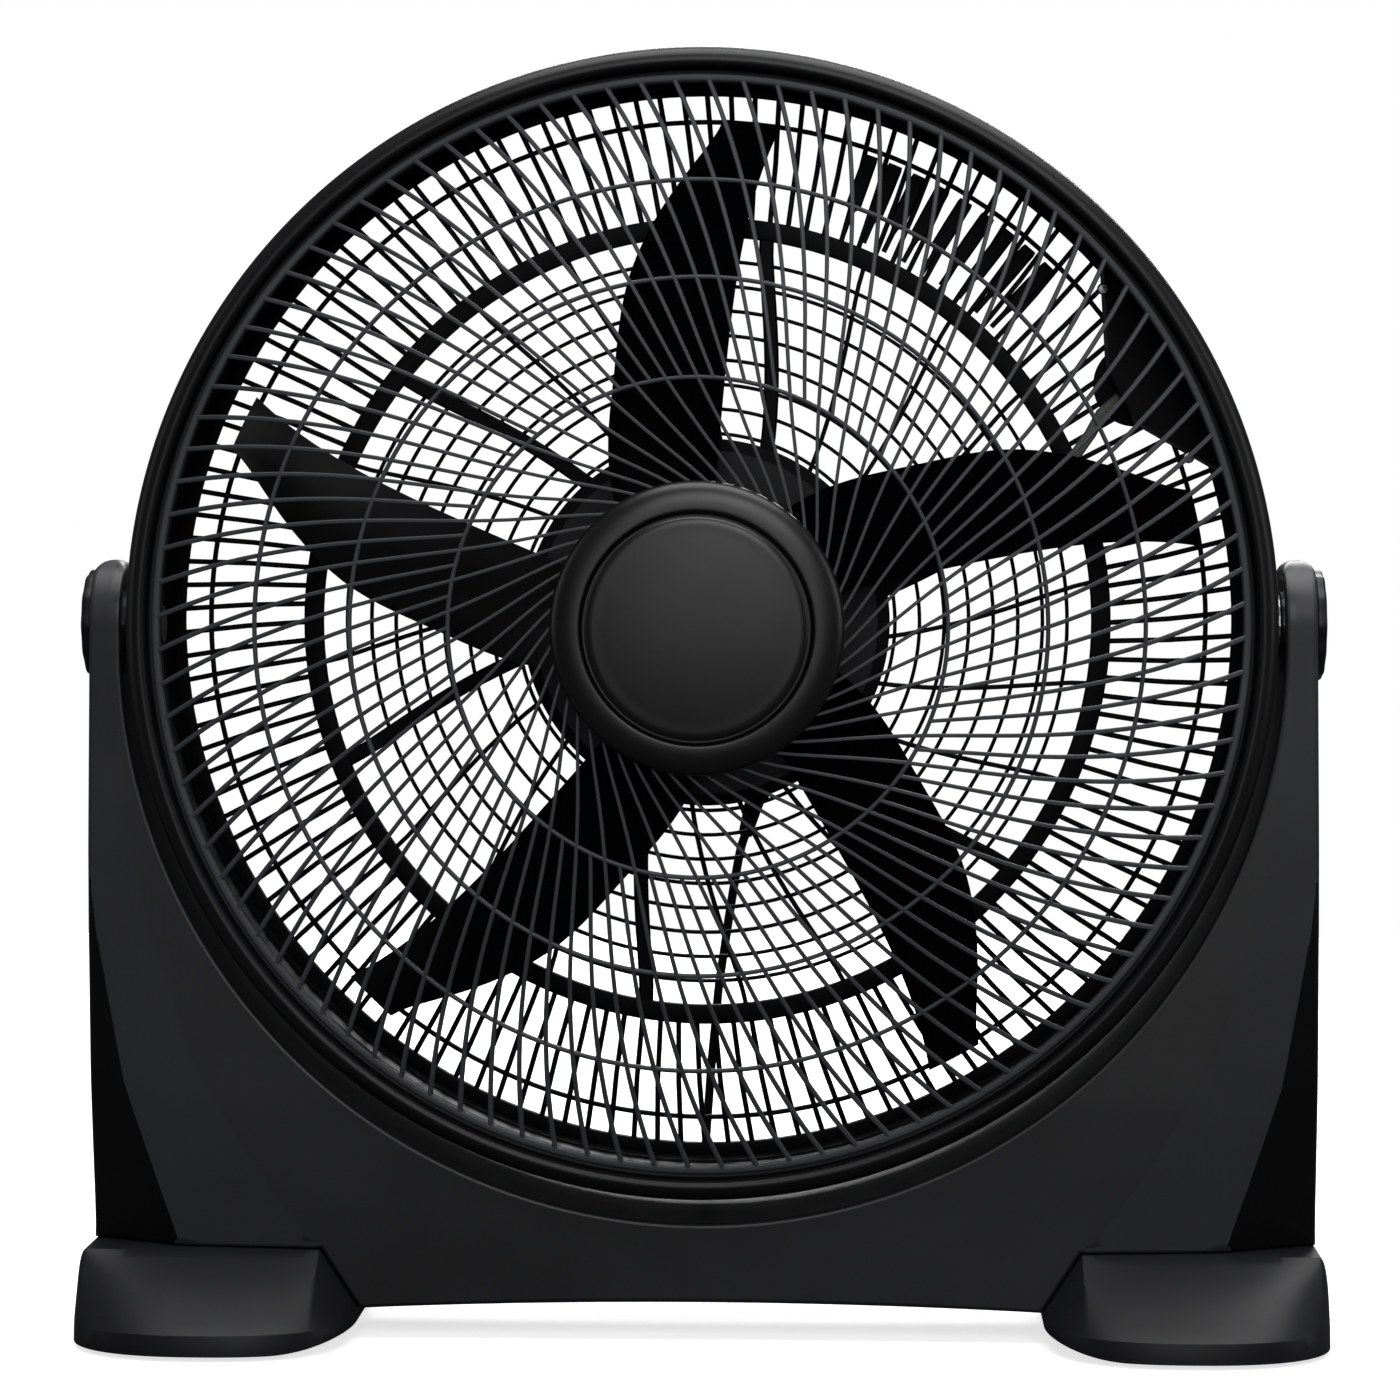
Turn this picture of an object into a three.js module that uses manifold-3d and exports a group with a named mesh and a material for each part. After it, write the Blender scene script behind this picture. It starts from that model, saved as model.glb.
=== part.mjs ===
// A round floor fan, 500 mm class. A drum-shaped head with a motor, a five-blade impeller and two
// guards hangs between the arms of a U-shaped base and tilts about a horizontal axis.
// Millimetres, +Z up, the front faces -Y, and the origin is on the floor under the head.
import * as THREE from 'three';
import { mergeVertices } from 'three/addons/utils/BufferGeometryUtils.js';
import Module from 'manifold-3d';

const wasm = await Module();
wasm.setup();

// ---- Driving dimensions ------------------------------------------------------------------------
const GAP = 0.3; // clearance between pieces that touch
const WALL = 3; // moulded wall thickness
const ROUND = 60; // facets of the large turned parts
const SMALL = 20; // facets of the small turned parts

const PIVOT_Z = 350; // height of the tilt axis, which crosses the fan axis
const RIM_R = 280; // drum outer radius
const DRUM_Y = 50; // half the drum's depth

const GUARD_R = 266.4; // outer radius of the front guard's rim
const GUARD_INNER_R = 262.6;
const GUARD_RINGS = [215, 168, 120]; // middle radii of the front guard's rings
const GUARD_BAR = 3.2; // width of a guard bar
const GUARD_BACK_Y = -41.8; // back of the guard's rim
const GUARD_THICK = 4;
const GUARD_DOME = 22; // how far the guard's middle stands in front of its rim
const GUARD_TURN = 0.0945; // degrees that a spoke turns in each millimetre of radius, near the rim
const GUARD_CURL = 0.1237; // what that grows by at the innermost ring, and more towards the cap
const GUARD_CURL_FADE = 25.8; // distance over which the extra turning fades
const FRONT_SPOKES = 20; // each stands for five of the moulded spokes
const CAP_R = 70.7; // cap in the middle of the front guard
const DISC_R = 53.6; // raised disc on the cap

const REAR_Y = 50; // back face of the rear guard
const REAR_THICK = 5;
const REAR_R = 272;
const REAR_RING_IN = 194.5; // the rear guard's heavy ring
const REAR_RING_OUT = 204.3;
const REAR_MID_R = 145; // a lighter ring between the heavy ring and the motor
const REAR_HUB_R = 96;
const REAR_HOLE_R = 78;
const REAR_SPOKES = 12;
const REAR_SWEEP = 10; // degrees that a rear rib turns between the motor and the heavy ring
const REAR_FIRST_RIB = 11;

const ROTOR_R = 248;
const BLADES = 5;
const FIRST_TIP = 11; // angle of the first blade's tip
const BLADE_Y = -5; // middle plane of the blades
const BLADE_THICK = 2.4;
const HUB_R = 42;
const SHAFT_R = 4;

const COVER_R = 89; // motor cover behind the rear guard
const COVER_Y = 90; // its back face

const ARM_IN = 284; // inner and outer faces of the arms, from the middle
const ARM_OUT = 300;
const ARM_TOP = 32; // radius of the arm's round top about the tilt axis
const ARM_ROUND = 7; // radius of the arm's upper corners seen from the front
const BASE_OUT = 303; // half width of the base at the feet
const BASE_Y = 38; // half the depth of the base panel
const CRADLE_DROP = 8; // the arms' inner arc is centred this far below the tilt axis
const CREASE_X = 281; // upper end of the crease between the panel and its slanted corner
const CREASE_Z = 260;
const FACET_SLOPE = 0.18; // how steeply the corner falls back
const PANEL_LOW = 15; // bottom edge of the panel at the feet
const PANEL_ARCH = 4; // rise of that edge at the middle

const FOOT_Y = 94.6; // half the length of a foot
const FOOT_ROUND = 2.4; // how square the oval of the foot is
const FOOT_OUT = 306.3;
const FOOT_TOP = 44;
const FOOT_LIP = 12; // height of the foot's edge all round
const FOOT_LOW = 2; // underside of the foot above the floor
const FOOT_IN = 167; // inner end of the foot at the panel's edge
const FOOT_SHOULDER = 186; // where the foot's inner end reaches its full height
const FOOT_FLAT = 206; // where its underside reaches full depth
const FOOT_MID = (FOOT_IN + 1 + FOOT_OUT) / 2;
const FOOT_HALF = FOOT_OUT - FOOT_MID;
const PAD_X = 248;
const PAD_Y = 68;
const PAD_R = 9;

const KNOB_R = 27;
const KNOB_OUT = 305.4;
const BOLT_R = 4.8;

const SWITCH_R = 247; // distance of the speed switch from the fan axis
const SWITCH_ANGLE = 29;

const CORD_D = 4.6;
const COIL_R = 26; // radius of the middle of the coiled turns
const COIL_TURNS_DEEP = 3; // the turns make a bundle three wide and three high
const COIL = new THREE.Vector3(20, 205, 0);

const deg = THREE.MathUtils.degToRad;
const fan = new THREE.Group();

// ---- Materials ---------------------------------------------------------------------------------
function plastic(color, roughness = 0.45) {
  return new THREE.MeshStandardMaterial({ color, roughness, metalness: 0 });
}

function metal(color, roughness = 0.35) {
  return new THREE.MeshStandardMaterial({ color, roughness, metalness: 1 });
}

const charcoal = plastic(0x2b2d31);
const graphite = plastic(0x4c4f53);
const black = plastic(0x0c0c0d, 0.35);
const capBlack = plastic(0x1d1e20, 0.4);
const rubber = plastic(0x151515, 0.9);
const sleeveGrey = plastic(0x6e6f6a, 0.6);
const steel = metal(0xa8acb0);
const laminations = metal(0x6a6c70, 0.55);

// ---- Solids ------------------------------------------------------------------------------------
// Keeps only positions, joins equal corners, drops empty triangles and turns all faces outwards.
function closed(geometry) {
  const bare = geometry.index ? geometry.toNonIndexed() : geometry.clone();
  bare.deleteAttribute('normal');
  bare.deleteAttribute('uv');
  const merged = mergeVertices(bare, 1e-4);
  const place = merged.getAttribute('position');
  const a = new THREE.Vector3();
  const b = new THREE.Vector3();
  const c = new THREE.Vector3();
  const kept = [];
  let volume = 0;
  for (let i = 0; i < merged.index.count; i += 3) {
    const corners = [0, 1, 2].map((k) => merged.index.getX(i + k));
    if (new Set(corners).size < 3) continue;
    a.fromBufferAttribute(place, corners[0]);
    b.fromBufferAttribute(place, corners[1]);
    c.fromBufferAttribute(place, corners[2]);
    volume += a.dot(b.cross(c));
    kept.push(corners);
  }
  merged.setIndex(kept.flatMap(([i, j, k]) => (volume < 0 ? [i, k, j] : [i, j, k])));
  return merged;
}

function solid(geometry) {
  const shape = closed(geometry);
  const vertProperties = new Float32Array(shape.getAttribute('position').array);
  const triVerts = new Uint32Array(shape.index.array);
  return new wasm.Manifold(new wasm.Mesh({ numProp: 3, vertProperties, triVerts }));
}

function geometryOf(manifold) {
  const mesh = manifold.getMesh();
  const geometry = new THREE.BufferGeometry();
  geometry.setAttribute('position', new THREE.BufferAttribute(new Float32Array(mesh.vertProperties), 3));
  geometry.setIndex([...mesh.triVerts]);
  return geometry;
}

function join(first, ...others) {
  return geometryOf(others.reduce((sum, other) => sum.add(solid(other)), solid(first)));
}

function cut(body, ...tools) {
  return geometryOf(tools.reduce((rest, tool) => rest.subtract(solid(tool)), solid(body)));
}

function common(first, second) {
  return geometryOf(solid(first).intersect(solid(second)));
}

// ---- Shapes in the object's axes ---------------------------------------------------------------
// A profile of [radius, y] pairs turned about the fan axis direction.
function turnedY(profile, segments) {
  return new THREE.LatheGeometry(profile.map(([r, y]) => new THREE.Vector2(r, y)), segments);
}

// A profile of [radius, x] pairs turned about the tilt axis direction.
function turnedX(profile, segments) {
  return turnedY(profile, segments).rotateZ(-Math.PI / 2);
}

function turnedZ(profile, segments) {
  return turnedY(profile, segments).rotateX(Math.PI / 2);
}

// Closed profile of a solid rod.
function rodProfile(radius, low, high) {
  return [[0, low], [radius, low], [radius, high], [0, high]];
}

// Closed profile of a ring with a square section.
function ringProfile(inner, outer, low, high) {
  return [[inner, low], [outer, low], [outer, high], [inner, high], [inner, low]];
}

// A shape drawn in x and z, made deep from y = front to y = back.
function frontShape(shape, front, back) {
  const geometry = new THREE.ExtrudeGeometry(shape, {
    depth: back - front, bevelEnabled: false, curveSegments: 32,
  });
  return geometry.rotateX(Math.PI / 2).translate(0, back, 0);
}

// A shape drawn in y and z, made long from x = low to x = high.
function sideShape(shape, low, high) {
  const geometry = new THREE.ExtrudeGeometry(shape, {
    depth: high - low, bevelEnabled: false, curveSegments: 12,
  });
  const turn = new THREE.Matrix4().makeBasis(
    new THREE.Vector3(0, 1, 0), new THREE.Vector3(0, 0, 1), new THREE.Vector3(1, 0, 0),
  );
  return geometry.applyMatrix4(turn).translate(low, 0, 0);
}

function polygon(points) {
  return new THREE.Shape(points.map(([x, y]) => new THREE.Vector2(x, y)));
}

function polar(radius, angle) {
  return [radius * Math.cos(deg(angle)), radius * Math.sin(deg(angle))];
}

// A round tube along a smooth curve.
function tube(curve, radius, sides, steps) {
  const section = new THREE.Shape();
  for (let i = 0; i < sides; i += 1) {
    const angle = (i / sides) * Math.PI * 2;
    const corner = [radius * Math.cos(angle), radius * Math.sin(angle)];
    if (i === 0) section.moveTo(...corner);
    else section.lineTo(...corner);
  }
  return new THREE.ExtrudeGeometry(section, { steps, extrudePath: curve, bevelEnabled: false });
}

function place(name, geometry, material, position = [0, 0, 0]) {
  const mesh = new THREE.Mesh(closed(geometry), material);
  mesh.name = name;
  mesh.position.set(...position);
  fan.add(mesh);
  return mesh;
}

const HEAD = [0, 0, PIVOT_Z]; // parts of the head are drawn about the crossing of the two axes

// ---- Base --------------------------------------------------------------------------------------
// Outline of the U seen from the front, made smaller all round by the inset.
function yokeOutline(inset) {
  const top = PIVOT_Z + ARM_TOP - inset;
  const cradleZ = PIVOT_Z - CRADLE_DROP;
  const seat = FOOT_TOP + GAP + inset;
  const low = PANEL_LOW + inset;
  const round = ARM_ROUND - inset;
  const shape = new THREE.Shape();
  shape.moveTo(-FOOT_IN + 1.4 * inset, low);
  shape.quadraticCurveTo(0, low + 2 * PANEL_ARCH, FOOT_IN - 1.4 * inset, low);
  shape.lineTo(FOOT_SHOULDER - 0.6 * inset, seat);
  shape.lineTo(BASE_OUT - inset, seat);
  shape.lineTo(ARM_OUT - inset, cradleZ);
  shape.lineTo(ARM_OUT - inset, top - round);
  shape.quadraticCurveTo(ARM_OUT - inset, top, ARM_OUT - inset - round, top);
  shape.lineTo(ARM_IN + inset + round, top);
  shape.quadraticCurveTo(ARM_IN + inset, top, ARM_IN + inset, top - round);
  shape.lineTo(ARM_IN + inset, cradleZ);
  shape.absarc(0, cradleZ, ARM_IN + inset, 0, -Math.PI, true);
  shape.lineTo(-ARM_IN - inset, top - round);
  shape.quadraticCurveTo(-ARM_IN - inset, top, -ARM_IN - inset - round, top);
  shape.lineTo(-ARM_OUT + inset + round, top);
  shape.quadraticCurveTo(-ARM_OUT + inset, top, -ARM_OUT + inset, top - round);
  shape.lineTo(-ARM_OUT + inset, cradleZ);
  shape.lineTo(-BASE_OUT + inset, seat);
  shape.lineTo(-FOOT_SHOULDER + 0.6 * inset, seat);
  shape.closePath();
  return shape;
}

// Outline of the U seen from the side: deep at the floor, round at the tilt axis.
function yokeSide(inset) {
  const half = BASE_Y - inset;
  const shape = new THREE.Shape();
  shape.moveTo(-half, 0);
  shape.lineTo(half, 0);
  shape.lineTo(half, PIVOT_Z / 3);
  shape.lineTo(ARM_TOP - inset, PIVOT_Z);
  shape.absarc(0, PIVOT_Z, ARM_TOP - inset, 0, Math.PI, false);
  shape.lineTo(-half, PIVOT_Z / 3);
  shape.closePath();
  return shape;
}

function yoke(inset, front, back) {
  const reach = BASE_OUT + 1;
  return common(frontShape(yokeOutline(inset), front, back), sideShape(yokeSide(inset), -reach, reach));
}

// A block whose rear face is the slanted facet at the panel's lower corner, for cutting it.
function facetBlock(side, inset) {
  const low = new THREE.Vector3(FOOT_SHOULDER, -BASE_Y + inset, FOOT_TOP);
  const high = new THREE.Vector3(CREASE_X, -BASE_Y + inset, CREASE_Z);
  const along = high.clone().sub(low).normalize();
  const outward = new THREE.Vector3(along.z, 0, -along.x);
  const facing = outward.multiplyScalar(FACET_SLOPE).add(new THREE.Vector3(0, -1, 0)).normalize();
  const turn = new THREE.Matrix4().makeBasis(along, facing.clone().cross(along), facing);
  const block = new THREE.BoxGeometry(900, 900, 60).applyMatrix4(turn);
  return block.translate(...low.addScaledVector(facing, 30)).scale(side, 1, 1);
}

function buildYoke() {
  const hole = turnedX(rodProfile(BOLT_R + 1.2, -BASE_OUT, BASE_OUT), SMALL).translate(0, 0, PIVOT_Z);
  const split = GAP / 2;
  const outer = cut(yoke(0, -BASE_Y, -split), facetBlock(-1, 0), facetBlock(1, 0));
  const inner = cut(yoke(WALL, -BASE_Y + WALL, 1), facetBlock(-1, WALL), facetBlock(1, WALL));
  const frontShell = cut(outer, inner, hole);
  const rearShell = cut(yoke(0, split, BASE_Y), yoke(WALL, -1, BASE_Y - WALL), hole);
  place('base_front_shell', frontShell, charcoal);
  place('base_rear_shell', rearShell, charcoal);
}

// Half the length of the foot at a distance from the middle: an oval with straight ends.
function footReach(x) {
  const across = Math.min(Math.abs(x - FOOT_MID) / FOOT_HALF, 1);
  const plateau = BASE_Y + 2;
  return plateau + (FOOT_Y - plateau) * (1 - across ** FOOT_ROUND) ** (1 / FOOT_ROUND);
}

// Section of the foot across its width: a lip, a slope up to the panel and a flat under it.
function footSection(x, inset) {
  const plateau = BASE_Y + 2 - inset / 2;
  const half = footReach(x) + 0.4 - inset;
  const slant = FOOT_IN + 0.6;
  const rise = (FOOT_TOP - PANEL_LOW) / (FOOT_SHOULDER - FOOT_IN);
  const top = Math.min(FOOT_TOP, PANEL_LOW + (x - slant) * rise) - inset;
  const lip = Math.min(FOOT_LIP, top + inset - 1) - inset;
  const heel = 0.2 * Math.max(FOOT_FLAT - x, 0);
  const floor = inset > 0 ? -1 : FOOT_LOW + heel;
  return [[-half, floor], [half, floor], [half, lip], [plateau, top], [-plateau, top], [-half, lip]];
}

// A solid skinned over sections that stand at growing distances from the middle.
function skinned(stations, section) {
  const corners = stations.flatMap((x) => section(x).map(([y, z]) => [x, y, z]));
  const wide = section(stations[0]).length;
  const triangles = [];
  for (let i = 0; i + 1 < stations.length; i += 1) {
    for (let j = 0; j < wide; j += 1) {
      const a = i * wide + j;
      const b = i * wide + ((j + 1) % wide);
      triangles.push(a, b, b + wide, a, b + wide, a + wide);
    }
  }
  const last = (stations.length - 1) * wide;
  for (let j = 1; j + 1 < wide; j += 1) {
    triangles.push(0, j + 1, j, last, last + j, last + j + 1);
  }
  const geometry = new THREE.BufferGeometry();
  geometry.setAttribute('position', new THREE.Float32BufferAttribute(corners.flat(), 3));
  geometry.setIndex(triangles);
  return geometry;
}

// The outside of a foot, or its hollow when it is set in by a wall's thickness.
function footBlock(inset) {
  const steps = 12;
  const low = FOOT_MID - FOOT_HALF + inset;
  const high = FOOT_MID + FOOT_HALF - inset;
  const stations = [FOOT_SHOULDER + 0.6, FOOT_FLAT];
  for (let i = 0; i <= steps; i += 1) {
    const turn = Math.cos((i / steps) * Math.PI);
    stations.push((low + high) / 2 - ((high - low) / 2) * turn);
  }
  stations.sort((a, b) => a - b);
  return skinned(stations, (x) => footSection(x, inset));
}

// A foot is hollow from below, with a boss over each rubber pad.
function buildFeet() {
  const block = footBlock(0);
  const shell = cut(block, footBlock(WALL));
  const boss = (y) => common(
    turnedZ(rodProfile(6, 5, FOOT_TOP), SMALL).translate(PAD_X, y, 0), block,
  );
  const right = join(shell, boss(-PAD_Y), boss(PAD_Y));
  const left = closed(right.clone().scale(-1, 1, 1));
  place('foot_right', right, charcoal);
  place('foot_left', left, charcoal);
  for (const [side, x] of [['left', -PAD_X], ['right', PAD_X]]) {
    for (const [end, y] of [['front', -PAD_Y], ['rear', PAD_Y]]) {
      const pad = turnedZ([[0, 0], [PAD_R - 1, 0], [PAD_R, 1], [PAD_R, 4.6], [0, 4.6]], SMALL);
      place(`foot_pad_${side}_${end}`, pad, rubber, [x, y, 0]);
    }
  }
}

// Self-tapping screws that hold the two halves of the base together, seen at the back.
function buildBaseScrews() {
  const headY = BASE_Y + GAP;
  const spots = [[-150, 40], [150, 40], [-250, 100], [250, 100]];
  spots.forEach(([x, z], i) => {
    const head = turnedY([[0, headY], [4.5, headY], [3.6, headY + 2], [0, headY + 2.6]], SMALL);
    place(`base_screw_${i + 1}`, head, steel, [x, 0, z]);
  });
}

// ---- Head --------------------------------------------------------------------------------------
function buildDrum() {
  const lip = -DRUM_Y;
  const rear = DRUM_Y;
  const profile = [
    [RIM_R, lip + 6], [RIM_R - 1.5, lip + 1.4], [RIM_R - 4.2, lip], [RIM_R - 6.8, lip + 1.4],
    [RIM_R - 7.4, lip + 6], [RIM_R - 7.4, lip + 8.6], [GUARD_INNER_R, lip + 8.6],
    [GUARD_INNER_R, lip + 11.6], [RIM_R - 3.4, lip + 11.6], [RIM_R - 6.6, rear - 8.5],
    [RIM_R - 9, rear - 6], [RIM_R - 7.6, rear - 6], [RIM_R - 7.6, rear], [RIM_R - 3.6, rear],
    [RIM_R, lip + 6],
  ];
  const drum = turnedY(profile, ROUND);
  const bosses = [-1, 1].map((side) => turnedX(rodProfile(24, RIM_R - 3.6, RIM_R + 1.2), SMALL)
    .scale(side, 1, 1));
  const bore = turnedX(rodProfile(BOLT_R + 0.4, -RIM_R - 5, RIM_R + 5), SMALL);
  place('drum_housing', cut(join(drum, ...bosses), bore), charcoal, HEAD);
}

function buildPivots() {
  for (const [side, sign] of [['left', -1], ['right', 1]]) {
    const washer = turnedX(ringProfile(BOLT_R + 0.4, 16, RIM_R + 1.5, ARM_IN - 0.8), SMALL);
    place(`pivot_washer_${side}`, washer.scale(sign, 1, 1), steel, HEAD);
    const bolt = turnedX([
      [0, RIM_R - 12], [9, RIM_R - 12], [9, RIM_R - 6.5], [BOLT_R, RIM_R - 6.5],
      [BOLT_R, KNOB_OUT - 4], [0, KNOB_OUT - 4],
    ], SMALL);
    place(`pivot_bolt_${side}`, bolt.scale(sign, 1, 1), steel, HEAD);
    place(`tilt_knob_${side}`, knobSolid().scale(sign, 1, 1), black, HEAD);
  }
}

// A round knob with a fluted edge and a blind bore for the bolt's end.
function knobSolid() {
  const flutes = 10;
  const outline = [];
  for (let i = 0; i < flutes * 4; i += 1) {
    const angle = (i / (flutes * 4)) * 360;
    outline.push(polar(KNOB_R - 0.8 + 0.8 * Math.cos(deg(angle * flutes)), angle));
  }
  const body = sideShape(polygon(outline), ARM_OUT + GAP, KNOB_OUT);
  const bore = turnedX(rodProfile(BOLT_R + 0.4, ARM_OUT - 1, KNOB_OUT - 3.4), SMALL);
  return cut(body, bore);
}

// ---- Guards ------------------------------------------------------------------------------------
// Angle that a front spoke has turned when it reaches a radius: a curl that opens out to the rim.
function frontTurn(radius) {
  const innermost = GUARD_RINGS[GUARD_RINGS.length - 1];
  const total = (r) => GUARD_TURN * r
    - GUARD_CURL * GUARD_CURL_FADE * Math.exp((innermost - r) / GUARD_CURL_FADE);
  return total(radius) - total(CAP_R);
}

// Angle that a rear rib has turned when it reaches a radius.
function rearTurn(radius) {
  const part = THREE.MathUtils.clamp((radius - REAR_HUB_R) / (REAR_RING_IN - REAR_HUB_R), 0, 1);
  return REAR_SWEEP * Math.sin(part * Math.PI / 2);
}

// One opening between two neighbouring spokes and two neighbouring rings.
function guardHole(inner, outer, first, pitch, bar, sweep) {
  const arcSteps = 2;
  const sideSteps = 1;
  const hole = [];
  const half = (radius) => THREE.MathUtils.radToDeg(bar / 2 / radius);
  const turnAt = (radius) => first + sweep(radius);
  for (let i = 0; i <= arcSteps; i += 1) {
    const low = turnAt(inner) + half(inner);
    const high = turnAt(inner) + pitch - half(inner);
    hole.push(polar(inner, low + (high - low) * (i / arcSteps)));
  }
  for (let i = 1; i < sideSteps; i += 1) {
    const radius = inner + (outer - inner) * (i / sideSteps);
    hole.push(polar(radius, turnAt(radius) + pitch - half(radius)));
  }
  for (let i = 0; i <= arcSteps; i += 1) {
    const low = turnAt(outer) + half(outer);
    const high = turnAt(outer) + pitch - half(outer);
    hole.push(polar(outer, high + (low - high) * (i / arcSteps)));
  }
  for (let i = sideSteps - 1; i > 0; i -= 1) {
    const radius = inner + (outer - inner) * (i / sideSteps);
    hole.push(polar(radius, turnAt(radius) + half(radius)));
  }
  return polygon(hole);
}

function guardPlate(outer, holes) {
  const plate = new THREE.Shape();
  plate.absarc(0, 0, outer, 0, Math.PI * 2, false);
  plate.holes = holes;
  return plate;
}

function buildFrontGuard() {
  const edges = [GUARD_INNER_R, ...GUARD_RINGS, CAP_R + 4];
  const pitch = 360 / FRONT_SPOKES;
  const holes = [];
  for (let zone = 1; zone < edges.length; zone += 1) {
    const outer = edges[zone - 1] - (zone > 1 ? GUARD_BAR / 2 : 0);
    const inner = edges[zone] + (zone < edges.length - 1 ? GUARD_BAR / 2 : 0);
    for (let i = 0; i < FRONT_SPOKES; i += 1) {
      holes.push(guardHole(inner, outer, i * pitch, pitch, GUARD_BAR, frontTurn));
    }
  }
  const middle = new THREE.Path();
  middle.absarc(0, 0, CAP_R - 12, 0, Math.PI * 2, true);
  const shape = guardPlate(GUARD_R, [...holes, middle]);
  const flat = frontShape(shape, GUARD_BACK_Y - GUARD_THICK, GUARD_BACK_Y);
  place('front_guard', domed(flat), graphite, HEAD);
}

// Height of the front guard's dome at a radius.
function domeAt(radius) {
  const part = THREE.MathUtils.clamp((GUARD_R - radius) / (GUARD_R - CAP_R), 0, 1);
  return GUARD_DOME * Math.sin(part * Math.PI / 2);
}

function domed(geometry) {
  const places = geometry.getAttribute('position');
  for (let i = 0; i < places.count; i += 1) {
    const radius = Math.hypot(places.getX(i), places.getZ(i));
    places.setY(i, places.getY(i) - domeAt(radius));
  }
  return geometry;
}

function buildCap() {
  const back = GUARD_BACK_Y - GUARD_THICK - GUARD_DOME - GAP; // front of the guard at its middle
  const cap = [
    [CAP_R, back], [CAP_R, back - 2], [CAP_R - 3, back - 5], [DISC_R + 3, back - 8],
    [DISC_R, back - 8.6], [0, back - 8.6], [0, back - 5.6], [DISC_R, back - 5.6], [CAP_R - 4, back],
    [CAP_R, back],
  ];
  place('guard_cap', turnedY(cap, 40), capBlack, HEAD);
  const seat = back - 8.6 - GAP;
  const disc = [
    [0, seat], [DISC_R - 1.5, seat], [DISC_R - 1, seat - 1.5], [DISC_R - 2.5, seat - 3.4],
    [DISC_R - 12, seat - 4.4], [0, seat - 5],
  ];
  place('cap_disc', turnedY(disc, 40), capBlack, HEAD);
}

function buildRearGuard() {
  const pitch = 360 / REAR_SPOKES;
  const zones = [
    [REAR_RING_OUT, REAR_R - 6, 6], [REAR_MID_R + 2, REAR_RING_IN, 6], [REAR_HUB_R, REAR_MID_R - 2, 6],
  ];
  const holes = [];
  for (const [inner, outer, bar] of zones) {
    for (let i = 0; i < REAR_SPOKES; i += 1) {
      holes.push(guardHole(inner, outer, REAR_FIRST_RIB + i * pitch, pitch, bar, rearTurn));
    }
  }
  const middle = new THREE.Path();
  middle.absarc(0, 0, REAR_HOLE_R, 0, Math.PI * 2, true);
  const shape = guardPlate(REAR_R, [...holes, middle]);
  const grid = frontShape(shape, REAR_Y - REAR_THICK, REAR_Y);
  const [x, z] = polar(SWITCH_R, SWITCH_ANGLE);
  const plate = turnedY(rodProfile(21, REAR_Y - REAR_THICK, REAR_Y), SMALL).translate(x, 0, z);
  const bore = turnedY(rodProfile(4.6, REAR_Y - 10, REAR_Y + 5), SMALL).translate(x, 0, z);
  place('rear_guard', cut(join(grid, plate), bore), black, HEAD);
}

// ---- Motor and impeller ------------------------------------------------------------------------
function buildMotor() {
  const bellBack = REAR_Y - REAR_THICK - GAP;
  place('motor_front_bell', turnedY([
    [11.4, 12], [16, 12], [53, 16], [53, bellBack - 3], [COVER_R - 2, bellBack - 3],
    [COVER_R - 2, bellBack], [50, bellBack], [50, 19], [11.4, 19], [11.4, 12],
  ], 40), black, HEAD);
  const coverFront = REAR_Y + GAP;
  place('motor_cover', turnedY([
    [0, COVER_Y], [64, COVER_Y], [80, COVER_Y - 5], [COVER_R, COVER_Y - 15], [COVER_R, coverFront],
    [COVER_R - 8, coverFront], [COVER_R - 4, COVER_Y - 16], [77, COVER_Y - 8], [62, COVER_Y - 3.5],
    [14.6, COVER_Y - 3.5], [14.6, 60.6], [11.4, 60.6], [11.4, 69], [0, 69],
  ], 40), black, HEAD);
  place('stator', turnedY(ringProfile(22.4, 49.5, 20, 57.5), 40), laminations, HEAD);
  place('front_bearing', turnedY(ringProfile(SHAFT_R + GAP, 11.1, 12.4, 18.6), SMALL), steel, HEAD);
  place('rear_bearing', turnedY(ringProfile(SHAFT_R + GAP, 11.1, 61, 68), SMALL), steel, HEAD);
  place('rotor_core', turnedY(ringProfile(SHAFT_R + GAP, 21.6, 21, 56.5), SMALL), laminations, HEAD);
  place('motor_shaft', turnedY(rodProfile(SHAFT_R, -33, 68), SMALL), steel, HEAD);
}

// The swept edge of a blade: how far it stands past the tip's angle at each radius.
const sweptEdge = new THREE.SplineCurve([
  new THREE.Vector2(HUB_R - 4, 52), new THREE.Vector2(80, 40), new THREE.Vector2(126, 27),
  new THREE.Vector2(178, 18), new THREE.Vector2(231, 7), new THREE.Vector2(ROTOR_R, 4.5),
]);

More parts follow.
